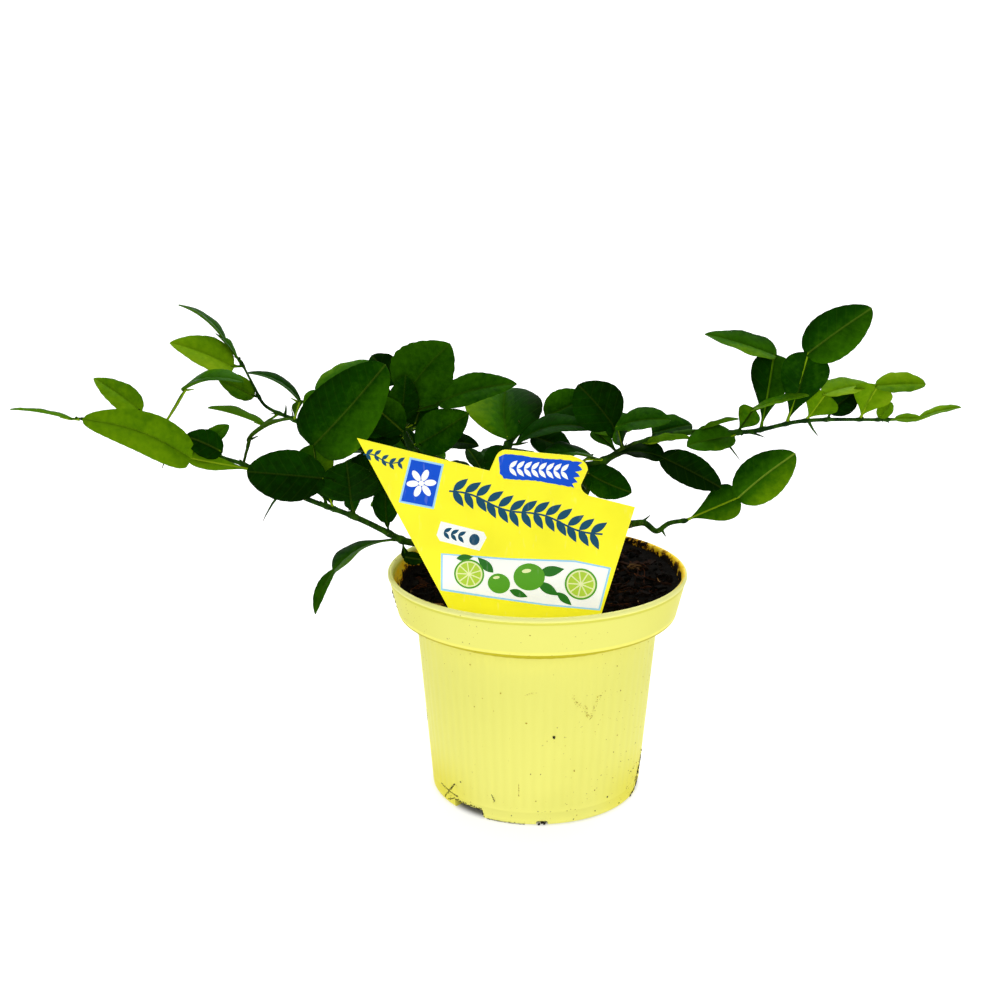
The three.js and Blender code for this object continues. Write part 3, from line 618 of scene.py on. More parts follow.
def lumps(x, y):
    """Height of the lumps on the heap, as three sizes of noise."""
    broad = noise.noise((x * 0.09, y * 0.09, 3.1)) * 1.5
    small = noise.noise((x * 0.42, y * 0.42, 7.7)) * 0.9
    grit = noise.noise((x * 1.3, y * 1.3, 1.9)) * 0.45
    return broad + small + grit


def ground_at(x, y):
    """Height of the heap's top with its lumps."""
    return soil_height(x, y) + lumps(x, y) - LUMP_MEAN


places = points_of(soil)
for number, (x, y, z) in enumerate(places):
    if z > SOIL_LEVEL - 2.5:
        height = soil_height(x, y)
        near_edge = min(1, max(0, (SOIL_EDGE - 0.2 - math.hypot(x, y)) / 3))
        reach = (SOIL_EDGE + (height - STEP_TOP) * COLLAR_DRAFT) / SOIL_EDGE
        places[number] = (x * reach, y * reach, height + (lumps(x, y) - LUMP_MEAN) * near_edge)
move_points(soil, places)
soften(soil, 60)
print("soil:", len(soil.data.polygons), "faces")


# %% Many small things joined into one mesh
class Heap:
    """Collects points and faces of many small shapes, then makes one mesh of them."""

    def __init__(self):
        self.points = []
        self.faces = []
        self.tints = []
        self.charts = []
        self.count = 0

    def add(self, points, faces, tint=(0, 0, 0), chart=None):
        """Adds one shape. tint is three values, for all of its points or for each; chart is its UV map."""
        points = np.asarray(points, float)
        self.faces += [tuple(int(corner) + self.count for corner in face) for face in faces]
        self.points.append(points)
        self.tints.append(np.broadcast_to(np.asarray(tint, float), (len(points), 3)))
        self.charts.append(np.zeros((len(points), 2)) if chart is None else chart)
        self.count += len(points)

    def piece(self, name):
        """One object from all that was added."""
        made = from_points(name, np.concatenate(self.points), (), self.faces)
        mesh = made.data
        colours = np.column_stack([np.concatenate(self.tints), np.ones(self.count)])
        mesh.color_attributes.new("tint", "FLOAT_COLOR", "POINT").data.foreach_set("color", colours.ravel())
        corners = np.empty(len(mesh.loops), dtype=np.int32)
        mesh.loops.foreach_get("vertex_index", corners)
        chart = mesh.uv_layers.new(name="chart")
        chart.data.foreach_set("uv", np.concatenate(self.charts)[corners].ravel())
        return made


# %% Models of a crumb and a chip, and chance
def shape_of(piece):
    """Points in millimetres and faces of a model, which is then removed."""
    points = points_of(piece)
    faces = [tuple(face.vertices) for face in piece.data.polygons]
    bpy.data.objects.remove(piece)
    return points, faces


def turning(dice):
    """A random turn as a matrix."""
    first, second = dice.normal(size=(2, 3))
    first /= np.linalg.norm(first)
    second -= first * first.dot(second)
    second /= np.linalg.norm(second)
    return np.array([first, second, np.cross(first, second)])


def roughened(points, amount, dice, each=1):
    """Points pushed in and out by chance. each is 1, or 3 where the axes differ."""
    return points * (1 + amount * dice.normal(size=(len(points), each)).clip(-1, 1))


bpy.ops.mesh.primitive_ico_sphere_add(subdivisions=2, radius=MM)
crumb_model = shape_of(bpy.context.object)
bpy.ops.mesh.primitive_cube_add(size=2 * MM)
chip = bpy.context.object
edit(chip, "SELECT")
bpy.ops.mesh.subdivide(number_cuts=1)
leave_edit()
chip_model = shape_of(chip)
print("models of a crumb and a chip:", len(crumb_model[1]), len(chip_model[1]), "faces")

# %% Crumbs and chips
TRUNK_FOOT, CLEAR_OF_TRUNK, FIBRES_CLEAR = (-8, 5), 7.5, 7
CRUMB_COUNT, CHIP_COUNT, FIBRE_COUNT = 1500, 240, 520
dice = np.random.default_rng(5)


def free_spot(dice, reach=1.0):
    """A random place on the heap that is clear of the trunk."""
    while True:
        radius = (SOIL_EDGE - 1.5) * math.sqrt(dice.random()) * reach
        angle = dice.random() * math.tau
        x, y = radius * math.cos(angle), radius * math.sin(angle)
        if math.dist((x, y), TRUNK_FOOT) > CLEAR_OF_TRUNK:
            return x, y


crumbs = Heap()
for number in range(CRUMB_COUNT):
    x, y = free_spot(dice)
    size = 0.35 + 1.3 * dice.random() ** 3
    points, faces = crumb_model
    rough = roughened(points, 0.3, dice)
    lying = (rough * dice.uniform(0.6, 1.2, 3)) @ turning(dice) * size
    crumbs.add(lying + (x, y, ground_at(x, y) + size * 0.2), faces, (dice.random(), dice.random(), 0))
chips = Heap()
for number in range(CHIP_COUNT):
    x, y = free_spot(dice, 0.97)
    size = np.array([1.4 + 2.2 * dice.random(), 0.6 + 0.9 * dice.random(), 0.25 + 0.3 * dice.random()])
    points, faces = chip_model
    rough = roughened(points, 0.22, dice, 3)
    tilt = Matrix.Rotation(dice.random() * math.tau, 3, "Z") @ Matrix.Rotation(dice.normal() * 0.35, 3, "X")
    lying = (rough * size) @ np.array(tilt).T
    chips.add(lying + (x, y, ground_at(x, y) + 0.35), faces, (dice.random(), dice.random(), 0))
print("crumbs and chips:", len(crumbs.faces), len(chips.faces), "faces")


# %% Fibres
FIBRE_STEPS, FIBRE_SIDES, FIBRE_SQUASH = 8, 5, 0.6
FIBRE_TAPER = np.array([0.5, 0.8, 1, 1, 1, 1, 0.9, 0.7, 0.4])


def ring_faces(rings, sides):
    """Faces that join rings of points into a closed body with flat ends."""
    faces = []
    for ring in range(rings - 1):
        for side in range(sides):
            here, after = ring * sides + side, ring * sides + (side + 1) % sides
            faces.append((here, after, after + sides, here + sides))
    return faces + [tuple(range(sides - 1, -1, -1)), tuple(range((rings - 1) * sides, rings * sides))]


def tube(route, radii, sides, squash=1.0):
    """Points and faces of a closed tube of varying radius along a row of places."""
    route = np.asarray(route, float)
    way = np.gradient(route, axis=0)
    way /= np.linalg.norm(way, axis=1)[:, None]
    side = np.cross(way[0], (0.31, 0.23, 0.92))
    rings = []
    angles = np.arange(sides) * math.tau / sides
    side /= np.linalg.norm(side)
    for place, ahead, radius in zip(route, way, radii):
        side = side - ahead * side.dot(ahead)
        side /= np.linalg.norm(side)
        reach = np.broadcast_to(radius, sides)
        rings.append(place + np.outer(reach * np.cos(angles), side)
                     + np.outer(reach * np.sin(angles) * squash, np.cross(ahead, side)))
    return np.concatenate(rings), ring_faces(len(rings), sides)


fibres = Heap()
for number in range(FIBRE_COUNT):
    x, y = free_spot(dice, 0.98)
    facing = dice.random() * math.tau
    length = 3 + 12 * dice.random() ** 2
    route = []
    for step in range(FIBRE_STEPS + 1):
        lift = 0.5 + math.sin(step / FIBRE_STEPS * math.pi) * length * 0.09 * (number % 3 == 0)
        route.append((x, y, ground_at(x, y) + lift))
        facing += dice.normal() * 0.22
        x += math.cos(facing) * length / FIBRE_STEPS
        y += math.sin(facing) * length / FIBRE_STEPS
    if all(math.hypot(*place[:2]) < SOIL_EDGE - 0.4 and math.dist(place[:2], TRUNK_FOOT) > FIBRES_CLEAR
           for place in route):
        thick = 0.12 + 0.22 * dice.random()
        points, faces = tube(route, thick * FIBRE_TAPER, FIBRE_SIDES, FIBRE_SQUASH)
        fibres.add(points, faces, (dice.random(), dice.random(), 0))
print("fibres:", len(fibres.faces), "faces")


# %% Finish of the soil
def earth(name, dark, warm, pale, pale_from):
    """Near-black earth, warmed and paled from piece to piece by the tint each one carries."""
    made = Finish(name, roughness=0.9, specular_ior_level=0.05)
    own, other, _ = made.split(made.tint())
    grain = made.noise(900, 4)
    colour = made.mix(shade(*dark), shade(*warm), own.rise(0.35, 0.95) * (0.5 + grain * 0.5))
    made.wear("Base Color", made.paint(colour, pale, other.rise(pale_from, pale_from + 0.04)))
    made.wear("Roughness", 0.82 + grain * 0.16)
    made.relief(grain, 0.25)
    return made


ground = Finish("soil_body", roughness=0.92, specular_ior_level=0.05)
patch = ground.noise(70, 4, rough=0.6)
grit = ground.noise(650, 4, rough=0.65)
colour = ground.mix(shade(3, 2, 1), shade(13, 9, 5), grit.rise(0.42, 0.68))
clods = patch.rise(0.56, 0.72) * grit.rise(0.5, 0.7) * 0.7
ground.wear("Base Color", ground.paint(colour, (34, 20, 9), clods))
ground.wear("Roughness", 0.84 + patch * 0.14)
ground.relief(grit * 0.6 + patch, 0.6)
soil_parts = [(soil, ground)]
for heap, name, dark, warm, pale, pale_from in (
        (crumbs, "soil_crumbs", (3, 2, 1), (20, 12, 7), (176, 146, 104), 0.975),
        (chips, "soil_chips", (6, 4, 2), (42, 22, 10), (150, 112, 66), 0.965),
        (fibres, "soil_fibres", (26, 12, 5), (84, 44, 20), (176, 130, 76), 0.95)):
    soil_parts.append((heap.piece(name), earth(name, dark, warm, pale, pale_from)))
print("soil in", len(soil_parts), "pieces")

# %% [markdown]
# ## The label
#
# A nursery label is a die-cut card of thin plastic, printed on its face. The card is drawn once as an
# outline and given its thickness, and its edge is rounded a little. What is printed stands on it as
# very thin plates, so that each colour has a crisp edge. The design is a plain one of citrus slices
# and leaves, with a vine across the top; it carries no words.

# %% Outline of the card, in the label's own millimetres from its top left corner
CORNER = (-73.6, -29.7, 163.6)
TURN, LEAN, ROLL = -6, 3, -12.7
CARD_THICKNESS = 0.8
CARD_TOP = 114.8
RIGHT_FOOT = (112.3, -50)
LEFT_FOOT = (53, -61.8)
TAB = {"left": 56, "right": 93, "low": 9.5, "high": 14, "corner": 4}
STAKE = {"left": 72, "right": 84, "left_shoulder": -61, "right_shoulder": -57, "end": -88, "tip": 7}
CARD_ROUNDING = 0.16
SLOT_ROOM, SLOT_HALF = 0.6, 0.8


def swung(start, bend, end, steps=8):
    """Points after start, along a curve that bends towards a middle point."""
    parts = [step / steps for step in range(1, steps + 1)]
    return [tuple((1 - part) ** 2 * a + 2 * part * (1 - part) * b + part ** 2 * c
                  for a, b, c in zip(start, bend, end)) for part in parts]


tab_left, tab_right = TAB["left"], TAB["right"]
outline = [(0, 0), (tab_left - 1, 0), (tab_left, TAB["low"] - TAB["corner"])]
outline += swung(outline[-1], (tab_left + 0.5, TAB["low"]), (tab_left + TAB["corner"], TAB["low"] + 0.6))
outline.append((tab_right - 2 * TAB["corner"], TAB["high"]))
outline += swung(outline[-1], (tab_right - 1, TAB["high"]), (tab_right, TAB["high"] - TAB["corner"]))
outline.append((tab_right - 1.2, 3.5))
outline += swung(outline[-1], (tab_right - 0.6, 0.6), (tab_right + 3, 0))
outline += [(CARD_TOP, 0), RIGHT_FOOT, (STAKE["right"], STAKE["right_shoulder"]),
            (STAKE["right"], STAKE["end"]),
            ((STAKE["left"] + STAKE["right"]) / 2, STAKE["end"] - STAKE["tip"]),
            (STAKE["left"], STAKE["end"]), (STAKE["left"], STAKE["left_shoulder"]), LEFT_FOOT]
label_place = Matrix.Translation(Vector(CORNER) * MM)
for degrees, axis in ((TURN, "Z"), (90 - LEAN, "X"), (ROLL, "Z")):
    label_place = label_place @ Matrix.Rotation(math.radians(degrees), 4, axis)


# %% The card, and the slot for its stake
def plate(outline, low, high):
    """A flat plate in the label's plane, between two heights above the card's middle."""
    piece = from_points("plate", [(x, y, low) for x, y in outline], (), [tuple(range(len(outline)))])
    edit(piece, "SELECT")
    bpy.ops.mesh.extrude_region_move(TRANSFORM_OT_translate={"value": (0, 0, (high - low) * MM)})
    bpy.ops.mesh.select_all(action="SELECT")
    bpy.ops.mesh.normals_make_consistent(inside=False)
    leave_edit()
    return piece


def together(name, pieces):
    """Joins plates, sets them in the label's place, and leaves the object at the origin."""
    only(pieces[0])
    for piece in pieces:
        piece.select_set(True)
    if len(pieces) > 1:
        bpy.ops.object.join()
    joined = bpy.context.view_layer.objects.active
    joined.matrix_world = label_place
    return settle(joined, name)


card = plate(outline, -CARD_THICKNESS / 2, CARD_THICKNESS / 2)
use(card, "BEVEL", width=CARD_ROUNDING * MM, segments=2, limit_method="ANGLE", angle_limit=math.radians(60))
card = together("label_card", [card])
soften(card, 30)

left, right = STAKE["left"] - SLOT_ROOM, STAKE["right"] + SLOT_ROOM
slot_box = plate([(left, -140), (right, -140), (right, -20), (left, -20)], -SLOT_HALF, SLOT_HALF)
cut_away(soil, together("stake_slot", [slot_box]))
print("card:", len(card.data.polygons), "faces")

# %% Shapes of the print
FACE = CARD_THICKNESS / 2
LEAF_PRINT_STEPS, LEAF_PRINT_PEAK = 14, 0.85
WEDGE_STEPS, WEDGES = 10, 9


def plates(shapes, height):
    """Plates from inside the card to a height in millimetres above its face."""
    return [plate(shape, 0, FACE + height) for shape in shapes]


def ragged(points, dice, amount, step=1.2):
    """A closed outline whose straight sides are broken up a little, like a brush edge."""
    rough = []
    for (ax, ay), (bx, by) in zip(points, points[1:] + points[:1]):
        parts = max(2, int(math.dist((ax, ay), (bx, by)) / step))
        for part in range(parts):
            share = part / parts
            rough.append((ax + (bx - ax) * share + dice.normal() * amount,
                          ay + (by - ay) * share + dice.normal() * amount))
    return rough


def turned(points, place, turn=0.0):
    """Flat points turned about zero and then moved to a place."""
    return [(place[0] + x * math.cos(turn) - y * math.sin(turn),
             place[1] + x * math.sin(turn) + y * math.cos(turn)) for x, y in points]


def disc(centre, across, tall=None, turn=0.0, count=40):
    """Points of an ellipse."""
    angles = [math.tau * step / count for step in range(count)]
    tall = tall or across
    return turned([(across * math.cos(angle), tall * math.sin(angle)) for angle in angles], centre, turn)


def leaf_print(root, length, wide, turn):
    """Points of a pointed leaf on the print, from its root."""
    upper = [(length * step / LEAF_PRINT_STEPS,
              wide / 2 * math.sin(math.pi * (step / LEAF_PRINT_STEPS) ** LEAF_PRINT_PEAK))
             for step in range(LEAF_PRINT_STEPS + 1)]
    return turned(upper + [(x, -y) for x, y in upper[-2:0:-1]], root, turn)


def leaf_pairs(roots, length, wide, spread, lean=0.0):
    """Leaves on both sides of each root, spread from a direction that leans."""
    return [leaf_print(root, length, wide, lean + side * spread) for root in roots for side in (1, -1)]


def wedge_print(centre, radius, angle):
    """One juicy wedge of a halved fruit."""
    half = math.pi / WEDGES * 0.86
    arc = [angle + half * (2 * step / WEDGE_STEPS - 1) for step in range(WEDGE_STEPS + 1)]
    points = [(radius * math.cos(place), radius * math.sin(place)) for place in arc]
    return turned(points + [(radius * 0.14 * math.cos(angle), radius * 0.14 * math.sin(angle))], centre)


def twig_print(line, thick):
    """A thin stroke below a line of points."""
    return line + [(x, y - thick) for x, y in reversed(line)]


print("leaf of the print:", len(leaf_print((0, 0), 1, 1, 0)), "points")

# %% Patches, panel and lozenge
BLUE, TEAL, SKY, WHITE = (0, 78, 206), (10, 74, 104), (156, 212, 244), (252, 255, 250)
square = [(22.6, -2.3), (36.6, -1.8), (36.6, -20.8), (22.1, -21.5)]
inset = [(23.4, -3.1), (35.8, -2.6), (35.8, -20.0), (22.9, -20.7)]
panel = [(43.4, -38), (70, -33.2), (96.8, -27.2), (111.6, -26.5), (111.6, -45), (90, -48.6), (66, -51.4),
         (46.7, -53.3)]
panel_inset = [(44.3, -38.4), (70.2, -33.9), (97, -27.9), (110.8, -27.3), (110.8, -44.4), (90, -47.9),
               (66, -50.6), (47.3, -52.3)]
lozenge = [(40.5, -25), (58.4, -25), (60, -27), (58.4, -33), (41.8, -33), (40, -31)]
tab_patch = [(57.4, 6.4), (59.6, 8.5), (70, 9.6), (84, 11.9), (90.2, 12.5), (88.7, 10.8), (90.9, 9.6),
             (88.5, 8.2), (90.8, 6.9), (88.3, 5.6), (90.2, 4.3), (88.2, 3), (89.4, 1.9), (76, 0.9),
             (61.4, -1.5), (59.3, 0.2)]
brushed = ragged(tab_patch, np.random.default_rng(12), 0.12)
prints = {
    "label_print_blue": (BLUE, plates([inset], 0.05) + plates([brushed], 0.04)),
    "label_print_pale": (SKY, plates([square, panel], 0.03)),
    "label_print_white": (WHITE, plates([panel_inset], 0.05) + plates([lozenge], 0.04))}
print("prints:", list(prints))

# %% The picture: halved fruit, whole fruit and leaves, each colour a little above the last
PITH_SHARE, JUICE_SHARE = 0.88, 0.78
slices = [((56.5, -43.6), 6.2), ((101.5, -36.2), 6.6)]
fruits = [((80.5, -38.6), 6.4, 5.7, 0.3), ((69.2, -44.4), 4.6, 4.2, 0.0)]
leaves = [((84, -36), 10.5, 4.4, 0.42), ((84.5, -40), 10, 4.2, -0.32), ((66, -40.5), 9, 3.8, 2.6),
          ((93, -42), 8, 3.2, -0.5), ((50, -38.5), 7, 2.8, 0.35), ((74, -46), 8, 3.2, -0.12)]
shines = [disc((centre[0] - 1.6, centre[1] + 2.2), wide * 0.3, tall * 0.14, 0.4, 20)
          for centre, wide, tall, turn in fruits]
prints["label_print_leaves"] = ((38, 112, 30), plates([leaf_print(*leaf) for leaf in leaves], 0.07))
prints["label_print_fruit"] = ((84, 158, 34), plates([disc(*fruit) for fruit in fruits]
                                                     + [disc(*cut) for cut in slices], 0.09))
prints["label_print_pith"] = ((232, 240, 178), plates(
    [disc(centre, radius * PITH_SHARE) for centre, radius in slices], 0.11) + plates(shines, 0.1))
prints["label_print_juice"] = ((176, 208, 62), plates(
    [wedge_print(centre, radius * JUICE_SHARE, math.tau * number / WEDGES + 0.2)
     for centre, radius in slices for number in range(WEDGES)], 0.13))
print("prints:", list(prints))

# %% Sprigs of leaves across the yellow field, on the lozenge and on the tab, and a flower
FLOWER, PETALS, PETAL_REACH = (29.4, -11.6), 6, 3.6
vine = [(4 + step * 1.1, -5.6 + 0.9 * math.sin(step * 0.5)) for step in range(15)]
sprig = [(41 + step * 1.6, -11.6 - 0.055 * step + 1.1 * math.sin(step * 0.32)) for step in range(41)]
sprig_leaves = [leaf_print(sprig[step], 7.8, 3.1, side * 0.85 + 0.08 * math.sin(step))
                for step in range(1, 40, 3) for side in (1, -1)]
lozenge_roots = [(42.6 + step * 3, -29) for step in range(3)]
tab_roots = [(62.5 + step * 2.9, 3.3 + step * 0.52) for step in range(8)]
petals = []
for number in range(PETALS):
    turn = math.tau * number / PETALS + 0.3
    centre = (FLOWER[0] + PETAL_REACH * math.cos(turn), FLOWER[1] + PETAL_REACH * math.sin(turn))
    petals.append(disc(centre, 2.5, 1.3, turn, 18))
prints["label_print_vine"] = (TEAL, (
    plates([twig_print(sprig, 0.75)], 0.04) + plates(sprig_leaves, 0.05)
    + plates([twig_print(vine, 0.5)], 0.04) + plates(leaf_pairs(vine[1:14:3], 3.4, 1.5, 0.8), 0.05)
    + plates(leaf_pairs(lozenge_roots, 3.8, 1.6, 0.7) + [disc((55.4, -29), 2.1, 2.4, count=24)], 0.06)))
prints["label_print_bud"] = (WHITE, (
    plates(petals, 0.07) + plates([disc(FLOWER, 1.1, count=16)], 0.09)
    + plates(leaf_pairs(tab_roots, 4.4, 1.7, 0.8, 0.18), 0.07)))
print("prints:", len(prints))


# %% Finish of the label
PAINTED_LABEL_GLOW, PAINTED_GLOW_FADES_BY = 0.5, 0.68


def printed(name, colour):
    """Printed plastic: flat colour with a slight cloud, fine scuffs, a soft sheen and a painted glow,
    strongest low down.
    """
    made = Finish(name, ior=1.45, specular_ior_level=0.2, emission_strength=PAINTED_LABEL_GLOW)
    cloud = made.noise(60, 3)
    scuff = made.noise(500, 3, stretch=(1, 1, 0.25)).rise(0.62, 0.72)
    clouded = tuple(part * 0.86 for part in shade(*colour))
    base = made.mix(shade(*colour), clouded, cloud.rise(0.4, 0.7) * 0.5)
    base = made.paint(base, (250, 250, 240), scuff * 0.06)
    made.wear("Base Color", base)
    _, _, high = made.split(made.place())
    # The label glows in its own colours, a painted light: fully low down, where the pot's rim shades it, and
    # less higher up.
    made.wear("Emission Color", made.mix(base, (0, 0, 0), high.rise(0.097, 0.125) * PAINTED_GLOW_FADES_BY))
    made.wear("Roughness", 0.32 + cloud * 0.1 + scuff * 0.2)
    made.relief(made.noise(380, 2) + scuff * 0.4, 0.02)
    return made


kept(card, printed("label_card", (255, 248, 44)), "label", "plant_label")
for name, (colour, parts) in prints.items():
    kept(together(name, parts), printed(name, colour), "label", "plant_label")

# %% [markdown]
# ## Dirt on the pot
#
# A pot that has been handled carries crumbs of soil, scratches and a smear or two. Each mark is a row
# of tiny flakes that lie on the plastic, placed by its angle about the pot and its height. A few dark
# lines of flakes run along the foot's bottom edge and round a wide notch, and dark specks in the narrow
# notch are painted shade. Real flakes catch the light and break the pot's clean outline, which a
# painted mark would not.

# %% Marks, as (angle in degrees, height in millimetres), with the flakes' size and how dark they are
SCRATCHES = [
    ([(-69, 53), (-65, 48.5), (-60, 59)], 0.14, 0.1), ([(-74, 57), (-66, 53)], 0.1, 0.05),
    ([(-75, 60.5), (-71, 55)], 0.09, 0.05), ([(-97, 61.5), (-92, 62.5)], 0.1, 0.05),
    ([(-153, 7), (-137, 6)], 0.2, 0.9), ([(-139, 11.5), (-150, 1.5)], 0.2, 0.85),
    ([(-114.5, 12.5), (-113, 9.5)], 0.16, 0.95), ([(-100, 19.5), (-100, 13.5)], 0.09, 0.4),
    ([(-28, 1), (-18, 4), (-12, 14)], 0.42, 0.85), ([(-22, 6), (-9, 17)], 0.34, 0.8),
    # The mark from -118 to -97 degrees and the last one are dark lines along the foot's bottom edge and
    # round the wide notch at -130 degrees.
    ([(-172, 30), (-171, 36)], 0.16, 0.7), ([(-118, 0.4), (-97, 0.3)], 0.13, 0.85),
    ([(-146, 1.8), (-140, 4.3), (-121, 4.3), (-119.4, 0.6)], 0.2, 0.9)]
SPECKS = [(-83, 41.8, 0.4, 1), (-96, 48.3, 0.2, 0.1), (-108, 61, 0.2, 0.1), (-123, 71.7, 0.2, 0.3),
          (-94, 91.6, 0.18, 0.3), (-94, 24.5, 0.18, 0.6), (-89, 24.5, 0.16, 0.6), (-71, 1.5, 0.2, 0.9),
          (-50, 7.9, 0.3, 0.9), (-58, 3, 0.24, 0.9), (-40, 2, 0.3, 0.9), (-134, 14, 0.2, 0.9),
          # The three specks near -88 degrees fill the narrow notch with dark flakes, a painted shade.
          (-104, 4, 0.2, 0.9), (-88, 1.2, 0.5, 1), (-86.6, 0.8, 0.4, 1), (-89.4, 0.7, 0.4, 1),
          (-169, 91.8, 0.6, 1), (-169, 90, 0.7, 1), (-168.6, 88.2, 0.6, 1), (-168, 86, 0.4, 1),
          (16, 98.2, 0.4, 1), (5, 97.6, 0.35, 1)]
# Fields of specks, as two angles, two heights, how many there are and how dark the darkest is
SPECK_FIELDS = [(-62, -12, 2, 78, 110, 0.7), (-168, -132, 74, 97, 60, 0.5), (-150, -60, 1, 12, 46, 0.8),
                (-34, -14, 1, 16, 60, 1), (-140, -40, 20, 95, 40, 0.4)]
print("marks:", len(SCRATCHES), len(SPECKS), len(SPECK_FIELDS))

# %% Lay the flakes
CRUMBS_TO_A_SPECK, GAPS_IN_A_SCRATCH = 4, 0.45
flake_dice = np.random.default_rng(21)
flakes = Heap()


def add_flake(angle, height, size, dark):
    """Lays one flattened crumb on the pot's outside."""
    turn = math.radians(angle)
    collar = height > COLLAR_FOOT + 0.6
    reach = (collar_radius(min(height, 96.6)) if collar else body_radius(height)) + sway(turn)
    out = np.array([math.cos(turn), math.sin(turn), 0])
    beside = np.array([-math.sin(turn), math.cos(turn), 0])
    points, faces = crumb_model
    rough = roughened(points, 0.3, flake_dice) * size
    spread = flake_dice.uniform(0.7, 1.6, 2)
    lying = (np.outer(rough[:, 0] * spread[0], beside) + np.outer(rough[:, 1] * 0.45, out)
             + np.outer(rough[:, 2] * spread[1], (0, 0, 1)))
    flakes.add(lying + out * reach + (0, 0, height), faces, (dark, flake_dice.random(), 0))


for route, size, dark in SCRATCHES:
    faint = dark < 0.2
    stray = (0.5, 0.4) if faint else (size, size)
    for (angle, height), (next_angle, next_height) in zip(route, route[1:]):
        steps = int(math.hypot((next_angle - angle) * 0.85, next_height - height) / (size * 1.5))
        for step in range(max(2, steps)):
            share = step / max(1, steps)
            if faint and flake_dice.random() < GAPS_IN_A_SCRATCH:
                continue
            add_flake(angle + (next_angle - angle) * share + flake_dice.normal() * stray[0],
                      height + (next_height - height) * share + flake_dice.normal() * stray[1],
                      size * flake_dice.uniform(0.5, 1.3), dark)
for angle, height, size, dark in SPECKS:
    for repeat in range(CRUMBS_TO_A_SPECK):
        add_flake(angle + flake_dice.normal() * size * 0.6, height + flake_dice.normal() * size * 0.5,
                  size * flake_dice.uniform(0.5, 1), dark)
for low_angle, high_angle, low, high, count, dark in SPECK_FIELDS:
    for repeat in range(count):
        add_flake(flake_dice.uniform(low_angle, high_angle), flake_dice.uniform(low, high),
                  0.06 + 0.13 * flake_dice.random() ** 2, flake_dice.uniform(0, dark))
grime = Finish("pot_dirt", roughness=0.9, specular_ior_level=0.2)
dark, own, _ = grime.split(grime.tint())
grain = grime.noise(1500, 3)
ochre = grime.mix(shade(204, 182, 36), shade(150, 122, 26), own)
grime.wear("Base Color", grime.paint(ochre, (34, 26, 16), dark.rise(0.4, 0.85)))
grime.wear("Roughness", 0.8 + grain * 0.15)
grime.relief(grain, 0.1)
kept(flakes.piece("pot_dirt"), grime, "pot", "pot")
for piece, finish in soil_parts:
    kept(piece, finish, "soil", "soil")

# %% [markdown]
# ## The plan of the plant
#
# The plant grows by a plan that the CAD follows too. Nine shoots leave the trunk. Each has a bough, a
# stem that grows on from the bough's tip, rows for the leaves that the picture shows, and a seeded rule
# for the leaves that no row names. Writing the rule again here keeps every leaf where the CAD has it.
# Limbs are smooth curves through a few points, as a gardener would sketch them.

# %% Curves
TRUNK_ROUTE = [(-8, 5, SOIL_LEVEL + GAP), (-8.6, 4.6, 100), (-9.8, 4.2, 114), (-12, 4, 131)]
TWIG_BEND = 0.15


def unit(vector):
    """The same direction with a length of one."""
    return np.asarray(vector, float) / np.linalg.norm(vector)


class Route:
    """A smooth curve through points, evenly measured along its length."""

    ARC_STEPS = 200
    TINY = 0.0001

    def __init__(self, points, trail_parts=8):
        self.points = np.array(points, float)
        self.shares = np.linspace(0, 1, self.ARC_STEPS + 1)
        places = np.array([self.raw(share) for share in self.shares])
        steps = np.linalg.norm(np.diff(places, axis=0), axis=1)
        self.arcs = np.concatenate([[0], np.cumsum(steps)])
        self.length = self.arcs[-1]
        self.trail = self.spaced(trail_parts)

    def raw(self, share):
        """The centripetal curve's point at an uneven share of it."""
        points = self.points
        last = len(points) - 1
        along = min(max(share, 0), 1) * last
        number = min(int(along), last - 1)
        weight = along - number
        start, end = points[number], points[number + 1]
        before = points[number - 1] if number else 2 * points[0] - points[1]
        after = points[number + 2] if number + 2 <= last else 2 * points[last] - points[last - 1]
        gaps = [np.sum((a - b) ** 2) ** 0.25 for a, b in ((before, start), (start, end), (end, after))]
        left = ((start - before) / gaps[0] - (end - before) / (gaps[0] + gaps[1])
                + (end - start) / gaps[1]) * gaps[1]
        right = ((end - start) / gaps[1] - (after - start) / (gaps[1] + gaps[2])
                 + (after - end) / gaps[2]) * gaps[1]
        square = -3 * start + 3 * end - 2 * left - right
        cube = 2 * start - 2 * end + left + right
        return start + left * weight + square * weight ** 2 + cube * weight ** 3

    def place(self, share):
        return self.raw(np.interp(share * self.length, self.arcs, self.shares))

    def way(self, share):
        middle = np.interp(share * self.length, self.arcs, self.shares)
        return unit(self.raw(middle + self.TINY) - self.raw(middle - self.TINY))

    def spaced(self, parts):
        return np.array([self.place(part / parts) for part in range(parts + 1)])


# %% Directions
def heading(rise, away):
    """Direction of a rise and an away angle."""
    rise, away = math.radians(rise), math.radians(away)
    return np.array([math.cos(rise) * math.cos(away), math.sin(away), math.sin(rise) * math.cos(away)])


def looking(face):
    """Direction in which an upper side looks."""
    return np.array([0, -math.sin(math.radians(face)), math.cos(math.radians(face))])


# %% How a leaf, a rule and a shoot are written down
def leaf(at, wing, blade, face, tone, **more):
    """A row for a leaf that the picture shows."""
    return {"at": at, "wing": wing, "blade": blade, "face": face, "tone": tone, **more}


def grown(seed, start, step, blade, opened, turn, twigs=()):
    """What the seeded rule of a shoot needs to know."""
    return {"seed": seed, "start": start, "step": step, "blade": blade, "opened": opened, "turn": turn,
            "twigs": twigs}


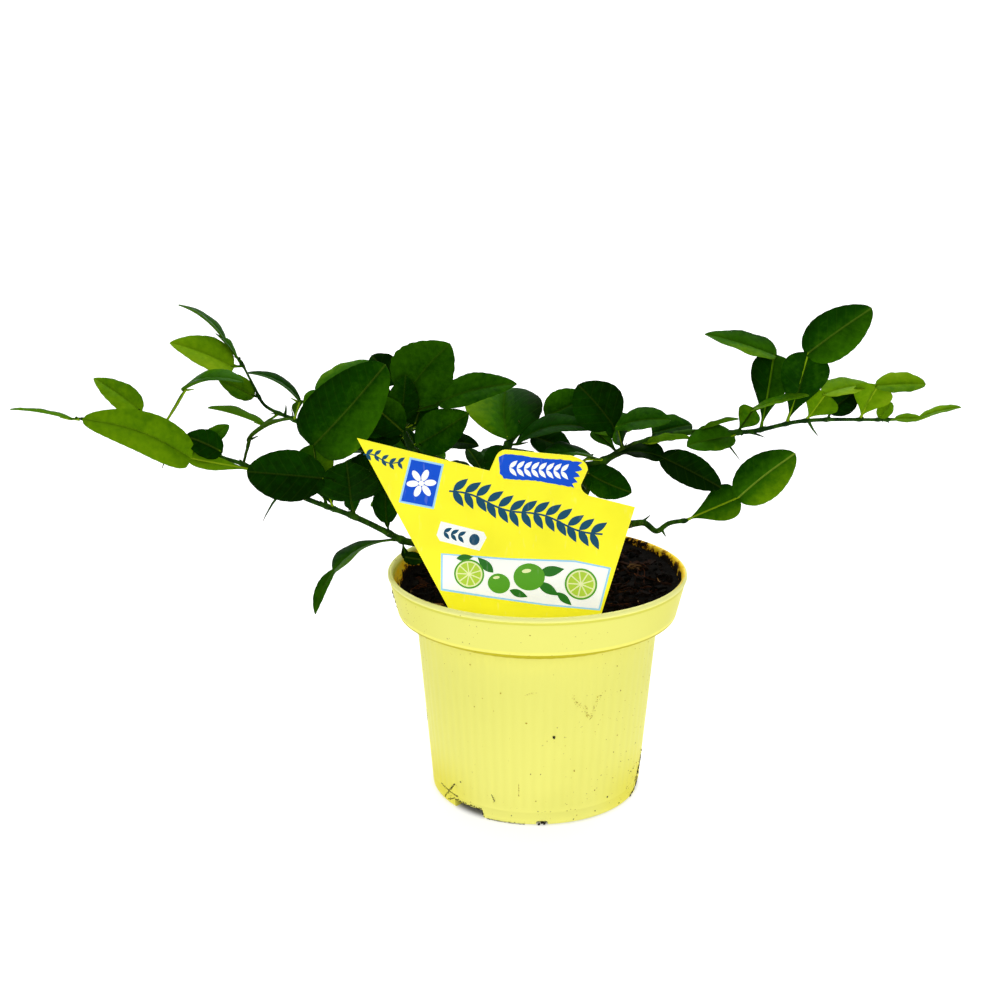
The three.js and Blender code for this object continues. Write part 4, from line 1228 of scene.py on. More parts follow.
class Shoot:
    """A bough, the stem and twigs that grow on from it, and what they carry."""

    def __init__(self, name, bough, bough_radii, stem, stem_radii, thorns, space, rule, slim=0.8, leaves=()):
        self.name, self.space, self.rule, self.slim = name, space, rule, slim
        self.bough_radii, self.stem_radii, self.thorns, self.rows = bough_radii, stem_radii, thorns, leaves
        self.bough_from = bough[0][2]
        self.bough = Route(bough, 20)
        end = self.bough.place(1)
        self.stem = Route([end + unit(np.array(stem[0]) - end) * GAP, *stem], 48)
        self.twigs = []
        self.side_twigs = []
        for at, swing, length in rule["twigs"]:
            share = at / self.stem.length
            root = self.stem.place(share)
            way = np.array(Matrix.Rotation(math.radians(swing), 3, "Z")) @ self.stem.way(share)
            tip = root + way * length + self.stem.way(0) * length * TWIG_BEND
            self.twigs.append(Route([root, root + way * length / 2, tip], 10))


# %% [markdown]
# A leaf row says how far along the stem the leaf sits, then gives its winged stalk and its blade as
# (rise, away, length), its face and its tone. Rise turns from +X up to +Z, away turns out of that plane
# to +Y, and face is where the upper side looks: 0 is up and 90 is at the viewer. Tone runs from 0, dark,
# to 1, young; the low tones of leaves deep in the crown are partly their own dark green and partly
# painted shade. A row may go on with the widths of wing and blade, and with how they arch, bow and fold.

# %% Shoots on the left, in millimetres
shoots = [
    Shoot("left_low",
          bough=[(-8.4, 4.6, 99), (-32, 1, 106.5), (-57, -7, 113.3)], bough_radii=(2.3, 1.5),
          stem=[(-76, -15, 126), (-99, -20, 137), (-120, -24, 151), (-143, -22, 157), (-166, -20, 167),
                (-187, -22, 170)], stem_radii=(1.4, 0.7),
          thorns=[(57, 236, -12, 17), (106, 242, -12, 12), (135, 208, -8, 4)],
          space=[(-112, -16, 130), (-58, 24, 165)],
          rule=grown(seed=11, start=12, step=12, blade=19, opened=70, turn=60),
          leaves=[
              leaf(2, (203, -15, 31), (245, -30, 20), -4, 0.38, wide=0.32, arch=0.12, wing_wide=0.56,
                   wing_arch=0.14, blunt=0.2),
              leaf(1, (284, -12, 7.5), (354, -6, 8), 75, 0, wide=0.62, blunt=1, nicks=0.3),
              leaf(8, (99, 24, 5.5), (91, 20, 17), 78, 0.1),
              leaf(25, (97, -24, 10), (93, -12, 17), 80, 0.08, wide=1.35, blunt=1, peak=0.5),
              leaf(27, (81, 26, 9), (57, 22, 22), 70, 0.05, wide=0.75),
              leaf(35, (101, -24, 16.5), (171, -14, 31), 82, 0.06, wide=0.66, blunt=1, peak=0.48),
              leaf(38, (101, 10, 26), (48, -4, 46), 76, 0.4, wide=0.62, blade_tone=0.24, peak=0.36,
                   blunt=1.2, bow=0.03),
              leaf(77, (74, 16, 10.5), (23, 12, 20), -12, 0.15, arch=0.12),
              leaf(86, (91, -26, 3.5), (149, -20, 15.5), 60, 0.12, wide=0.7),
              leaf(93, (87, 30, 5), (35, 26, 12), 40, 0.45),
              leaf(71, (164, -18, 27.5), (156, -10, 43.5), 62, 0.66, wide=0.38, wing_face=50,
                   wing_wide=0.27, arch=0.1, peak=0.34, blunt=1.2, bow=0.06, nicks=0.5, own=0.4),
              leaf(122, (92, 22, 7), (148, 14, 23.5), 48, 0.66, wide=0.46, peak=0.36, blunt=0.2),
              leaf(114, (57, 4, 22), (8, -6, 25), 6, 0.4, arch=0.14, wing_face=-10, wing_wide=0.1),
              leaf(146, (176, 0, 4), (171, 0, 24), -12, 0.5, wide=0.24)]),
    Shoot("left_upper",
          bough=[(-9.4, 4.4, 111), (-28, 9, 127), (-56, 13, 143), (-92, 8, 155)], bough_radii=(1.9, 1.3),
          stem=[(-103, 6, 163), (-116, 5, 170), (-120, 4, 178), (-125, 2, 190)], stem_radii=(1.2, 0.7),
          thorns=[(2, 225, -12, 9), (19, 82, 0, 5)], space=[(-125, 8, 150), (-66, 60, 186)],
          rule=grown(seed=23, start=8, step=14, blade=18, opened=62, turn=40), slim=0.6,
          leaves=[
              leaf(50, (130, 16, 12.5), (145, 14, 24), -12, 0.3, wide=0.45, arch=0.1),
              leaf(48, (182, -22, 5), (154, -18, 27), 42, 0.76, peak=0.36, blunt=0.2),
              leaf(33, (164, -16, 3), (148, -14, 16), 52, 0.52),
              leaf(15, (69, -24, 10), (147, -12, 25), 12, 0.24, wide=0.36, arch=0.14),
              leaf(22, (214, -22, 8), (159, -14, 24), -12, 0.3),
              leaf(12, (58, 24, 16), (28, 20, 26.5), 14, 0.4)]),
    Shoot("centre_left",
          bough=[(-12, 4, 127), (-32, 8, 140), (-54, 8, 150)], bough_radii=(2.1, 1.4),
          stem=[(-58, 9, 160), (-57, 10, 171), (-61, 12, 178)], stem_radii=(1.3, 0.7),
          thorns=[(9, 20, -20, 6)], space=[(-90, -20, 118), (-12, 70, 203)],
          rule=grown(seed=31, start=7, step=7, blade=24, opened=66, turn=100),
          leaves=[
              leaf(20, (80, -8, 4), (50, 0, 29.5), 80, 0.32, wide=0.9, peak=0.42, blunt=0.4, nicks=2,
                   own=0.42),
              leaf(16, (21, -18, 18.5), (16, -12, 34), 46, 0.3, wide=0.44, arch=0.08, wing_face=66,
                   wing_wide=0.16, peak=0.38, blunt=0.3),
              leaf(1, (25, -20, 4), (35, -18, 28), 62, 0.26, wide=0.64),
              leaf(5, (119, -20, 5), (135, -18, 23), 66, 0.15, wide=0.66),
              leaf(27, (122, 18, 4), (134, 24, 16), 58, 0.12, wide=0.8),
              leaf(11, (88, -16, 4), (84, -8, 19), 74, 0.2, wide=0.66),
              leaf(7, (153, 16, 9.5), (120, 20, 25), 66, 0.1, wide=0.66),
              leaf(9, (28, 22, 6), (78, 18, 17), 72, 0.1, wide=0.9),
              leaf(3, (140, 10, 5), (165, 14, 24), 74, 0.08, wide=0.7),
              leaf(2, (12, -8, 5), (358, -4, 25), 24, 0.03, wide=0.5, arch=0.06),
              leaf(13, (168, 14, 4), (186, 16, 20), 70, 0.06, wide=0.8)])]
print("shoots on the left:", [shoot.name for shoot in shoots])

# %% Shoots in the middle and on the right
shoots += [
    Shoot("centre",
          bough=[(-12, 4, 129), (-13.4, 3, 142), (-14, 2, 152)], bough_radii=(2.2, 1.5),
          stem=[(-8, 6, 158), (4, 10, 163), (14, 12, 166)], stem_radii=(1.4, 0.8),
          thorns=[(12, 120, -30, 6)], space=[(-40, -10, 138), (40, 75, 184)],
          rule=grown(seed=47, start=6, step=7, blade=26, opened=64, turn=20),
          leaves=[
              leaf(2, (96, 0, 3), (92, 60, 32), 44, 0.38, wide=1, fold=1.8),
              leaf(2, (12, -24, 5), (11, -4, 33), 20, 0.16, wide=0.42, arch=0.17),
              leaf(21, (44, 20, 3), (22, 16, 20), 60, 0.25, wide=0.8),
              leaf(2, (199, -26, 4), (249, -20, 13), 70, 0.1, wide=0.8),
              leaf(14, (300, -24, 5), (342, -20, 17.5), 52, 0.08, wide=0.7)]),
    Shoot("right_upper",
          bough=[(-11.4, 4.1, 125), (4, 0, 140), (26, -4, 147)], bough_radii=(2.3, 1.6),
          stem=[(41, -6, 155.5), (60, -8, 161), (88, -8, 161.5), (110, -8, 166), (147, -5, 166),
                (160, -5, 166.5)], stem_radii=(1.6, 0.75),
          thorns=[(52, 309, -14, 15), (64, 345, -16, 8), (90, 304, -12, 8), (122, 335, -10, 3)],
          space=[(88, -4, 158), (128, 30, 186)],
          rule=grown(seed=59, start=30, step=20, blade=16, opened=60, turn=250),
          leaves=[
              leaf(2, (9, -24, 26), (-26, -10, 27), 58, 0, wide=0.5, wing_face=18, wing_arch=0.14,
                   wing_wide=0.5),
              leaf(17, (15, -24, 6.5), (11, -18, 17.5), -22, 0.42),
              leaf(3, (166, -34, 8), (182, -16, 24), 8, 0.25, arch=0.14),
              leaf(1, (215, -24, 8), (338, -14, 20), 66, 0.15, wide=0.66),
              leaf(11, (104, -20, 12), (12, -18, 22.5), 28, 0.28, arch=0.08, wing_wide=1.1),
              leaf(12, (118, 16, 12), (132, 14, 22), 80, 0.1, wide=0.95),
              leaf(9, (141, 26, 14.5), (6, 24, 23.5), 30, 0.34),
              leaf(23, (47, 22, 4), (8, 20, 17.5), 36, 0.2, wide=0.8),
              leaf(40, (23, -26, 6.5), (19, -12, 15), -12, 0.3),
              leaf(61, (204, -22, 4), (187, -20, 21), 44, 0.42, blunt=0.9),
              leaf(60, (63, -22, 13), (19, -16, 23), 10, 0.5, wide=0.36, wing_face=50, wing_wide=0.8),
              leaf(70, (80, 14, 31.5), (164, 10, 30), 26, 0.18, wide=0.5, wing_face=84, wing_wide=0.56,
                   blade_tone=0.45, peak=0.3, blunt=0.2),
              leaf(81, (79, -10, 31.5), (40, -12, 30.5), 80, 0.19, wide=0.62, wing_wide=0.64,
                   blade_tone=0.25, peak=0.42, blunt=0.8),
              leaf(89, (60, -12, 14), (5, 26, 24), 18, 0.67, wide=0.56, wing_face=74, wing_wide=1.1,
                   blunt=1),
              leaf(98, (58, 24, 4), (33, 22, 15.5), 68, 0.12, wide=0.7),
              leaf(112, (70, -14, 16.5), (4, -10, 19), 36, 0.71, wide=0.56, wing_face=70, wing_wide=1,
                   blunt=1),
              leaf(120, (62, 16, 2), (44, 16, 7.5), 50, 0.7, wide=0.7),
              leaf(124, (12, -26, 4), (4, -18, 10), 30, 0.62, wide=0.5),
              leaf(134, (6, 0, 4), (18, -8, 16.5), 10, 0.66, wide=0.4)]),
    Shoot("right_low",
          bough=[(-8.2, 4.6, 100), (16, 2, 111), (40, 0, 119)], bough_radii=(2.2, 1.7),
          stem=[(46, -2, 120), (51, -4, 117), (56, -6, 121), (64, -8, 123)], stem_radii=(1.6, 1.1),
          thorns=[(4, 38, 0, 6), (15, 300, -10, 4)], space=[(38, -30, 102), (105, 40, 152)],
          rule=grown(seed=61, start=60, step=9, blade=20, opened=64, turn=80),
          leaves=[
              leaf(26, (29, -14, 25.5), (44, -12, 30), 76, 0.35, wide=0.62, wing_face=56, blade_tone=0.36,
                   own=0.97)])]
print("shoots so far:", len(shoots))

# %% Shoots at the back, which the rule fills
shoots += [
    Shoot("back_left",
          bough=[(-9.6, 4.3, 113), (-26, 22, 122), (-44, 38, 127)], bough_radii=(2.1, 1.5),
          stem=[(-56, 54, 134), (-70, 70, 142), (-86, 84, 148)], stem_radii=(1.4, 0.7),
          thorns=[(16, 200, 30, 8), (38, 160, 40, 6)], space=[(-116, 14, 101), (-36, 124, 172)],
          rule=grown(seed=73, start=2, step=6.5, blade=28, opened=58, turn=30,
                      twigs=[(14, 34, 26), (28, -38, 22)])),
    Shoot("back_middle",
          bough=[(-10.6, 4.1, 119), (-15, 22, 124), (-22, 40, 126)], bough_radii=(2.1, 1.5),
          stem=[(-26, 58, 126), (-24, 76, 121), (-30, 96, 115)], stem_radii=(1.4, 0.7),
          thorns=[(12, 60, 50, 8), (34, 250, 40, 6)], space=[(-64, 20, 101), (12, 124, 149)],
          rule=grown(seed=83, start=2, step=5.5, blade=25, opened=58, turn=100,
                      twigs=[(12, 36, 24), (30, -36, 22)])),
    Shoot("back_right",
          bough=[(-9.2, 4.4, 107), (2, 19, 118), (11, 33, 128)], bough_radii=(2, 1.5),
          stem=[(14, 47, 131), (13, 61, 131), (18, 82, 126)], stem_radii=(1.4, 0.7),
          thorns=[(14, 320, 30, 7), (30, 30, 40, 6)], space=[(-16, 20, 101), (38, 116, 149)],
          rule=grown(seed=97, start=2, step=5.5, blade=25, opened=58, turn=170,
                      twigs=[(14, -34, 22), (30, 30, 20)]))]
print("shoots:", len(shoots), "with", sum(len(shoot.rows) for shoot in shoots), "rows of leaves")

# %% The seeded rule
WING_RATIO, BLADE_RATIO = 0.62, 0.6
PLAIN_STALK_UNDER = 9
JOINT_LAP = 1.3
GOLDEN_ANGLE = 137.5
TURN_SPREAD, OPEN_SPREAD, SIZE_SPREAD = 30, 16, 0.3
WING_SHARE, TWIG_LEAF_SHARE = 0.42, 0.85
BLADE_FOLLOWS_WING, BLADE_SPREAD, BLADE_DROOP = 0.75, 0.5, -0.35
LIMB_ROOM, STEM_ROOM, LEAF_ROOM = 4, 3, 5
CROWN_FALL = 0.235


def seeded(seed):
    """The rule's random numbers, from 0 up to 1."""
    state = [seed]

    def draw():
        state[0] = (state[0] * 1664525 + 1013904223) % 4294967296
        return state[0] / 4294967296

    return draw


def leaf_plan(foot, row):
    """Where a leaf's stalk and blade start, meet and end."""
    wing_way = row.get("wing_way", heading(*row["wing"][:2]))
    blade_way = row.get("blade_way", heading(*row["blade"][:2]))
    face = row.get("face", 0)
    joint = foot + wing_way * row["wing"][2]
    return SimpleNamespace(
        row=row, foot=foot, joint=joint, tip=joint + blade_way * row["blade"][2],
        wing_way=wing_way, blade_way=blade_way, look=row.get("look", looking(face)),
        wing_look=row.get("look", looking(row.get("wing_face", face))), start=joint - blade_way * JOINT_LAP)


def leaf_points(plan):
    """Points that stand for a leaf when its room is tested. The first two are its stalk's."""
    foot, joint, tip = plan.foot, plan.joint, plan.tip
    across = unit(np.cross(tip - joint, plan.look))
    half = plan.row["blade"][2] * plan.row.get("wide", BLADE_RATIO) / 2
    points = [foot + (joint - foot) * part for part in (0.6, 1)]
    points += [joint + (tip - joint) * part for part in (0.25, 0.5, 0.75, 1)]
    return points + [joint + (tip - joint) * 0.42 + across * side * half for side in (-1, 1)]


# %% Rows by the rule
def grown_rows(curve, rule, draw, start, count, size):
    """Rows for the leaves that the rule adds along a stem or a twig."""
    rows = []

    def either(spread):
        return spread * (draw() - 0.5)

    turn = rule["turn"]
    for number in range(count):
        at = min(start + number * rule["step"], curve.length - 0.5)
        way = curve.way(at / curve.length)
        out = unit(np.cross((0, 0, 1), way))
        over = np.cross(way, out)
        opened = math.radians(rule["opened"] + either(OPEN_SPREAD))
        around = math.radians(turn + either(TURN_SPREAD))
        reach = size * (1 + either(SIZE_SPREAD))
        lean = out * math.cos(around) + over * math.sin(around)
        wing_way = unit(way * math.cos(opened) + lean * math.sin(opened))
        stray = np.array([either(BLADE_SPREAD), either(BLADE_SPREAD), BLADE_DROOP * draw()])
        blade_way = unit(wing_way * BLADE_FOLLOWS_WING + stray)
        look = unit([either(BLADE_SPREAD), either(BLADE_SPREAD) - 0.25, 1])
        rows.append({"at": at, "wing": (0, 0, reach * WING_SHARE), "blade": (0, 0, reach),
                     "wing_way": wing_way, "blade_way": blade_way, "look": look})
        turn += GOLDEN_ANGLE
    return rows


# %% Grow the plan
trunk_curve = Route(TRUNK_ROUTE, 16)
trails = [trunk_curve.trail] + [shoot.bough.trail for shoot in shoots]
trails += [shoot.stem.trail for shoot in shoots]
trails += [twig.trail for shoot in shoots for twig in shoot.twigs]
taken = []


def has_room(plan, space, own, limb_room, leaf_room):
    """Whether a leaf stays in its space and clear of other limbs and leaves."""
    points = np.array(leaf_points(plan))
    low, high = np.array(space, float)
    if (points < low).any() or (points > high).any():
        return False
    if (points[:, 2] >= high[2] - CROWN_FALL * (points[:, 1] - low[1])).any():
        return False
    for trail in trails:
        distances = np.linalg.norm(points[:, None] - trail[None], axis=2).min(axis=1)
        if trail is own and (distances[1:] <= STEM_ROOM).any():
            return False
        if trail is not own and (distances <= limb_room).any():
            return False
    return bool((np.linalg.norm(points[2:, None] - np.array(taken)[None], axis=2) > leaf_room).all())


def fitted(shoot, curve, rows, own, limb_room=LIMB_ROOM, leaf_room=LEAF_ROOM):
    """Plans of the leaves along a curve that find room, each of which takes its place at once."""
    plans = []
    for row in rows:
        plan = leaf_plan(curve.place(row["at"] / curve.length), row)
        if has_room(plan, shoot.space, own, limb_room, leaf_room):
            taken.extend(leaf_points(plan)[2:])
            plans.append(plan)
    return plans


for shoot in shoots:
    stem = shoot.stem
    shoot.plans = [leaf_plan(stem.place(row["at"] / stem.length), row) for row in shoot.rows]
    for plan in shoot.plans:
        taken += leaf_points(plan)[2:]
for shoot in shoots:
    rule, stem = shoot.rule, shoot.stem
    draw = seeded(rule["seed"])
    count = int((stem.length - rule["start"]) / rule["step"]) + 1
    groups = [(stem, grown_rows(stem, rule, draw, rule["start"], count, rule["blade"]))]
    for twig in shoot.twigs:
        groups.append((twig, grown_rows(twig, rule, draw, rule["step"], int(twig.length / rule["step"]),
                                        rule["blade"] * TWIG_LEAF_SHARE)))
    for curve, rows in groups:
        shoot.plans += fitted(shoot, curve, rows, curve.trail)
print("leaves of the plan:", {shoot.name: len(shoot.plans) for shoot in shoots})

# %% [markdown]
# ## Finer twigs and young leaves
#
# The CAD stops at leaves that read as solids. A real shoot goes on: short side twigs with small young
# leaves stand between the big ones. They come from the same rule with a shorter step and a smaller
# leaf, and are kept only where they stay in the same space and clear of what is there. Only the
# shoots at the back get them, because rows of leaves already fill those in front.

# %% Carry the rule on to finer twigs
FINE_STEP, FINE_LEAF, FINE_START = 0.62, 0.52, 3
FINE_ROOMS = (2.4, 3.1)
SIDE_TWIG = {"length": 13, "leaf": 10.5, "step": 3.4, "tries": 12, "start": 5, "opened": 52, "leaves": 4,
             "turn": 200, "rise": 0.35}
BACK_SHOOTS = ("back_left", "back_middle", "back_right")

for shoot in shoots:
    if shoot.name not in BACK_SHOOTS:
        continue
    rule = shoot.rule
    draw = seeded(rule["seed"] + 1)
    fine = {**rule, "step": rule["step"] * FINE_STEP, "turn": rule["turn"] + 70}
    small = {**rule, "step": SIDE_TWIG["step"], "opened": SIDE_TWIG["opened"]}
    for curve in [shoot.stem, *shoot.twigs]:
        count = int((curve.length - FINE_START) / fine["step"])
        rows = grown_rows(curve, fine, draw, FINE_START, count, rule["blade"] * FINE_LEAF)
        shoot.plans += fitted(shoot, curve, rows, curve.trail, *FINE_ROOMS)
        count = min(SIDE_TWIG["tries"], int(curve.length / SIDE_TWIG["start"]))
        sides = {**fine, "turn": rule["turn"] + SIDE_TWIG["turn"]}
        starts = grown_rows(curve, sides, draw, SIDE_TWIG["start"], count, SIDE_TWIG["length"])
        for start in starts:
            root, ahead = curve.place(start["at"] / curve.length), start["wing_way"]
            bend = unit(ahead + np.array([0, 0, SIDE_TWIG["rise"]]))
            twig = Route([root, root + ahead * SIDE_TWIG["length"] / 2,
                          root + (ahead + bend) * SIDE_TWIG["length"] / 2])
            rows = grown_rows(twig, small, draw, SIDE_TWIG["step"], SIDE_TWIG["leaves"], SIDE_TWIG["leaf"])
            found = fitted(shoot, twig, rows, curve.trail, *FINE_ROOMS)
            for plan in found:
                # Leaves on side twigs get low random tones, partly painted shade inside the crown.
                plan.row["tone"] = 0.05 + 0.35 * draw()
            if len(found) > 1:
                shoot.side_twigs.append(twig)
                shoot.plans += found
                trails.append(twig.trail)
print("leaves with the finer ones:", {shoot.name: len(shoot.plans) for shoot in shoots})

# %% [markdown]
# ## Limbs
#
# Young citrus wood is green, ridged along its length, a little swollen where each leaf stands, and
# set with thorns. A limb is a tube whose radius changes from ring to ring and from side to side. The
# bough and the stem that grows on from it share their rings where they meet, so no seam shows.

# %% Trunk
TRUNK_FOOT_RADIUS, TRUNK_FLARE, TRUNK_LOW, TRUNK_TOP = 6.4, 9, 4.4, 3.1
TRUNK_SIDES, TRUNK_RINGS, TRUNK_SUNK = 44, 90, 0.9


def bark_radii(route, base, swellings, sides, seed, ridge):
    """Radius of each ring and side: the plain taper, with ridges, bumps and swollen nodes."""
    angles = np.arange(sides) * math.tau / sides
    arc = np.concatenate([[0], np.cumsum(np.linalg.norm(np.diff(route, axis=0), axis=1))])
    swell = sum((height * np.exp(-((arc - at) / width) ** 2) for at, height, width in swellings),
                np.zeros(len(arc)))
    radii = np.empty((len(route), sides))
    for ring, (run, plain) in enumerate(zip(arc, base)):
        for side, angle in enumerate(angles):
            grain = noise.noise((math.cos(angle) * 2.2 + seed, math.sin(angle) * 2.2, run * 0.09))
            bump = noise.noise((math.cos(angle) * 1.4, math.sin(angle) * 1.4 + seed, run * 0.45))
            radii[ring, side] = plain * (1 + ridge * grain + 0.6 * ridge * bump) + swell[ring]
    return radii


def tinted(values, sides=1):
    """Tints whose first value is the given one, repeated for each side of a ring."""
    first = np.repeat(values, sides)
    return np.column_stack([first, np.zeros((len(first), 2))])


trunk_line = trunk_curve.spaced(TRUNK_RINGS)
trunk_line[0, 2] -= TRUNK_SUNK
rise = np.linspace(0, 1, TRUNK_RINGS + 1)
flare = np.maximum(0, 1 - rise * trunk_curve.length / TRUNK_FLARE) ** 2 * (TRUNK_FOOT_RADIUS - TRUNK_LOW)
base = TRUNK_LOW + (TRUNK_TOP - TRUNK_LOW) * rise + flare
forks = [(shoot.bough_from - SOIL_LEVEL, 0.35, 2.5) for shoot in shoots]
radii = bark_radii(trunk_line, base, forks, TRUNK_SIDES, 2.0, 0.085)
radii[-3:] *= np.array([0.97, 0.86, 0.55])[:, None]
trunk_heap = Heap()
trunk_heap.add(*tube(trunk_line, radii, TRUNK_SIDES), (0.9, 0, 0))
trunk_piece = trunk_heap.piece("trunk_bark")
soften(trunk_piece, 70)
print("trunk:", len(trunk_piece.data.polygons), "faces")

# %% Boughs and stems
LIMB_SIDES, LIMB_RINGS_PER_MM, MOST_SWELLINGS = 20, 1.6, 26
JOINT_BLENDS, JOINT_HALF, STEM_TAPER = 6, 5, 0.6

for number, shoot in enumerate(shoots):
    bough, stem = shoot.bough, shoot.stem
    wood = bough.spaced(int(bough.length * LIMB_RINGS_PER_MM))
    green = stem.spaced(int(stem.length * LIMB_RINGS_PER_MM))
    line = np.concatenate([wood, green])
    joint = len(wood)
    low, high = joint - JOINT_HALF, joint + JOINT_HALF
    for turn in range(JOINT_BLENDS):
        line[low:high] = (line[low - 1:high - 1] + line[low + 1:high + 1]) / 2
    share = np.linspace(0, 1, len(wood))
    collar = 0.5 * np.exp(-((share * bough.length - 4) / 2.6) ** 2)
    first, last = shoot.bough_radii
    begin, finish = max(shoot.stem_radii[0], last), shoot.slim * shoot.stem_radii[1]
    base = np.concatenate([first + (last - first) * share + collar,
                           begin + (finish - begin) * np.linspace(0, 1, len(green)) ** STEM_TAPER])
    swellings = [(bough.length + plan.row["at"], 0.28, 1.1) for plan in shoot.plans if plan.row["at"] > 0]
    swellings += [(bough.length * part, 0.3, 1.3) for part in (0.42, 0.68, 0.86)]
    radii = bark_radii(line, base, swellings[:MOST_SWELLINGS], LIMB_SIDES, 3.0 + number, 0.07)
    radii[-2:] *= np.array([0.8, 0.35])[:, None]
    age = np.concatenate([np.linspace(0.75, 0.45, joint), np.linspace(0.4, 0, len(green))])
    points, _ = tube(line, radii, LIMB_SIDES)
    shoot.limb_pieces = []
    for name, low, high in (("bough", 0, joint), ("stem", joint - 1, len(line))):
        heap = Heap()
        heap.add(points[low * LIMB_SIDES:high * LIMB_SIDES], ring_faces(high - low, LIMB_SIDES),
                 tinted(age[low:high], LIMB_SIDES))
        shoot.limb_pieces.append(heap.piece(f"{shoot.name}_{name}_bark"))
        soften(shoot.limb_pieces[-1], 70)
print("limbs:", 2 * len(shoots), "pieces")

# %% Thorns, buds and fine twigs
bpy.ops.mesh.primitive_uv_sphere_add(segments=10, ring_count=7, radius=MM)
bud_model = shape_of(bpy.context.object)
THORN_PROFILE = ((0, 1.5), (0.06, 1.1), (0.2, 0.85), (0.5, 0.62), (0.8, 0.36), (0.95, 0.18), (1, 0.06))
THORN_SIDES, TWIG_SIDES, TWIG_RINGS = 9, 10, 22
SHOWN_THORN_THICK, AXIL_THORN_THICK, TWIG_THICK, SIDE_TWIG_THICK = 0.75, 0.42, 0.9, 0.55
LEAST_BUD_AT, LEAST_BUD_LEAF, LEAST_THORN_LEAF, THORN_CHANCE = 3, 13, 15, 0.55


def thorn(heap, root, way, length, thick, dice):
    """A thorn: a slim cone with a flared foot and a slight bend."""
    side = unit(np.cross(way, dice.normal(size=3)))
    route = [root + way * length * part + side * length * 0.05 * math.sin(part * math.pi)
             for part, _ in THORN_PROFILE]
    points, faces = tube(route, [thick * share for _, share in THORN_PROFILE], THORN_SIDES)
    heap.add(points, faces, tinted([0.2 if part < 0.85 else 1.0 for part, _ in THORN_PROFILE], THORN_SIDES))


for number, shoot in enumerate(shoots):
    dice = np.random.default_rng(40 + number)
    stem = shoot.stem
    heap = Heap()
    for at, rise, away, reach in shoot.thorns:
        thorn(heap, stem.place(at / stem.length), heading(rise, away), reach, SHOWN_THORN_THICK, dice)
    for plan in shoot.plans:
        at, blade_length = plan.row["at"], plan.row["blade"][2]
        if at < LEAST_BUD_AT or blade_length < LEAST_BUD_LEAF:
            continue
        way = stem.way(min(1, at / stem.length))
        axil = unit(way * 0.75 + plan.wing_way * 0.55)
        points, faces = bud_model
        heap.add(points * (0.62, 0.62, 0.8) + plan.foot + axil * 1.2, faces, (0.15, 0, 0))
        if dice.random() < THORN_CHANCE and blade_length > LEAST_THORN_LEAF:
            aside = unit(np.cross(way, plan.wing_way) * dice.choice([-1, 1]) + axil * 0.9)
            thorn(heap, plan.foot, aside, 3.2 + 2.4 * dice.random(), AXIL_THORN_THICK, dice)
    for twig in shoot.twigs + shoot.side_twigs:
        thick = TWIG_THICK if twig in shoot.twigs else SIDE_TWIG_THICK
        line = twig.spaced(TWIG_RINGS)
        base = thick * (1 - 0.4 * np.linspace(0, 1, len(line)))
        swellings = [(twig.length * part, 0.12, 0.8) for part in (0.25, 0.5, 0.75)]
        radii = bark_radii(line, base, swellings, TWIG_SIDES, 9.0, 0.06)
        radii[-1] *= 0.4
        heap.add(*tube(line, radii, TWIG_SIDES), (0.15, 0, 0))
    shoot.thorn_piece = heap.piece(f"{shoot.name}_thorns")
    soften(shoot.thorn_piece, 60)
print("thorn pieces:", len(shoots))

# %% [markdown]
# ## Leaves
#
# Each leaf of this lime is double: the stalk is spread into a wing nearly as broad as the blade, and
# blade and wing meet at a narrow joint. The margin is finely scalloped, the surface folds along the
# midrib and puckers between the side veins. Every leaf is a thin closed shell built from rings of
# points, each ring running over the top and back beneath, so that both sides and the edge are real.

# %% The shape of one leaf
HALF_ACROSS = (0, 0.08, 0.2, 0.4, 0.62, 0.82, 0.95, 1)
ACROSS = np.array([-part for part in HALF_ACROSS[:0:-1]] + list(HALF_ACROSS))
LEAF_THICKNESS = 0.42
SCALLOP = 3.4
VEIN_SPACING, VEIN_SLANT = 4.4, 0.72


def half_widths(kind, along, half, blunt, peak):
    """Half the width of a wing or a blade along its length. A blade is broadest at its peak."""
    if kind == "wing":
        swell = np.sin(math.pi / 2 * np.clip(along / 0.74, 0, 1) ** 1.7)
        close = np.clip((along - 0.74) / 0.26, 0, 1)
        return np.maximum(half * swell * np.sqrt(1 - 0.985 * close ** 2.8), 0.3)
    body = np.sin(math.pi * along ** (math.log(0.5) / math.log(peak))) ** (0.74 - 0.22 * blunt)
    return np.maximum(half * body, 0.16)


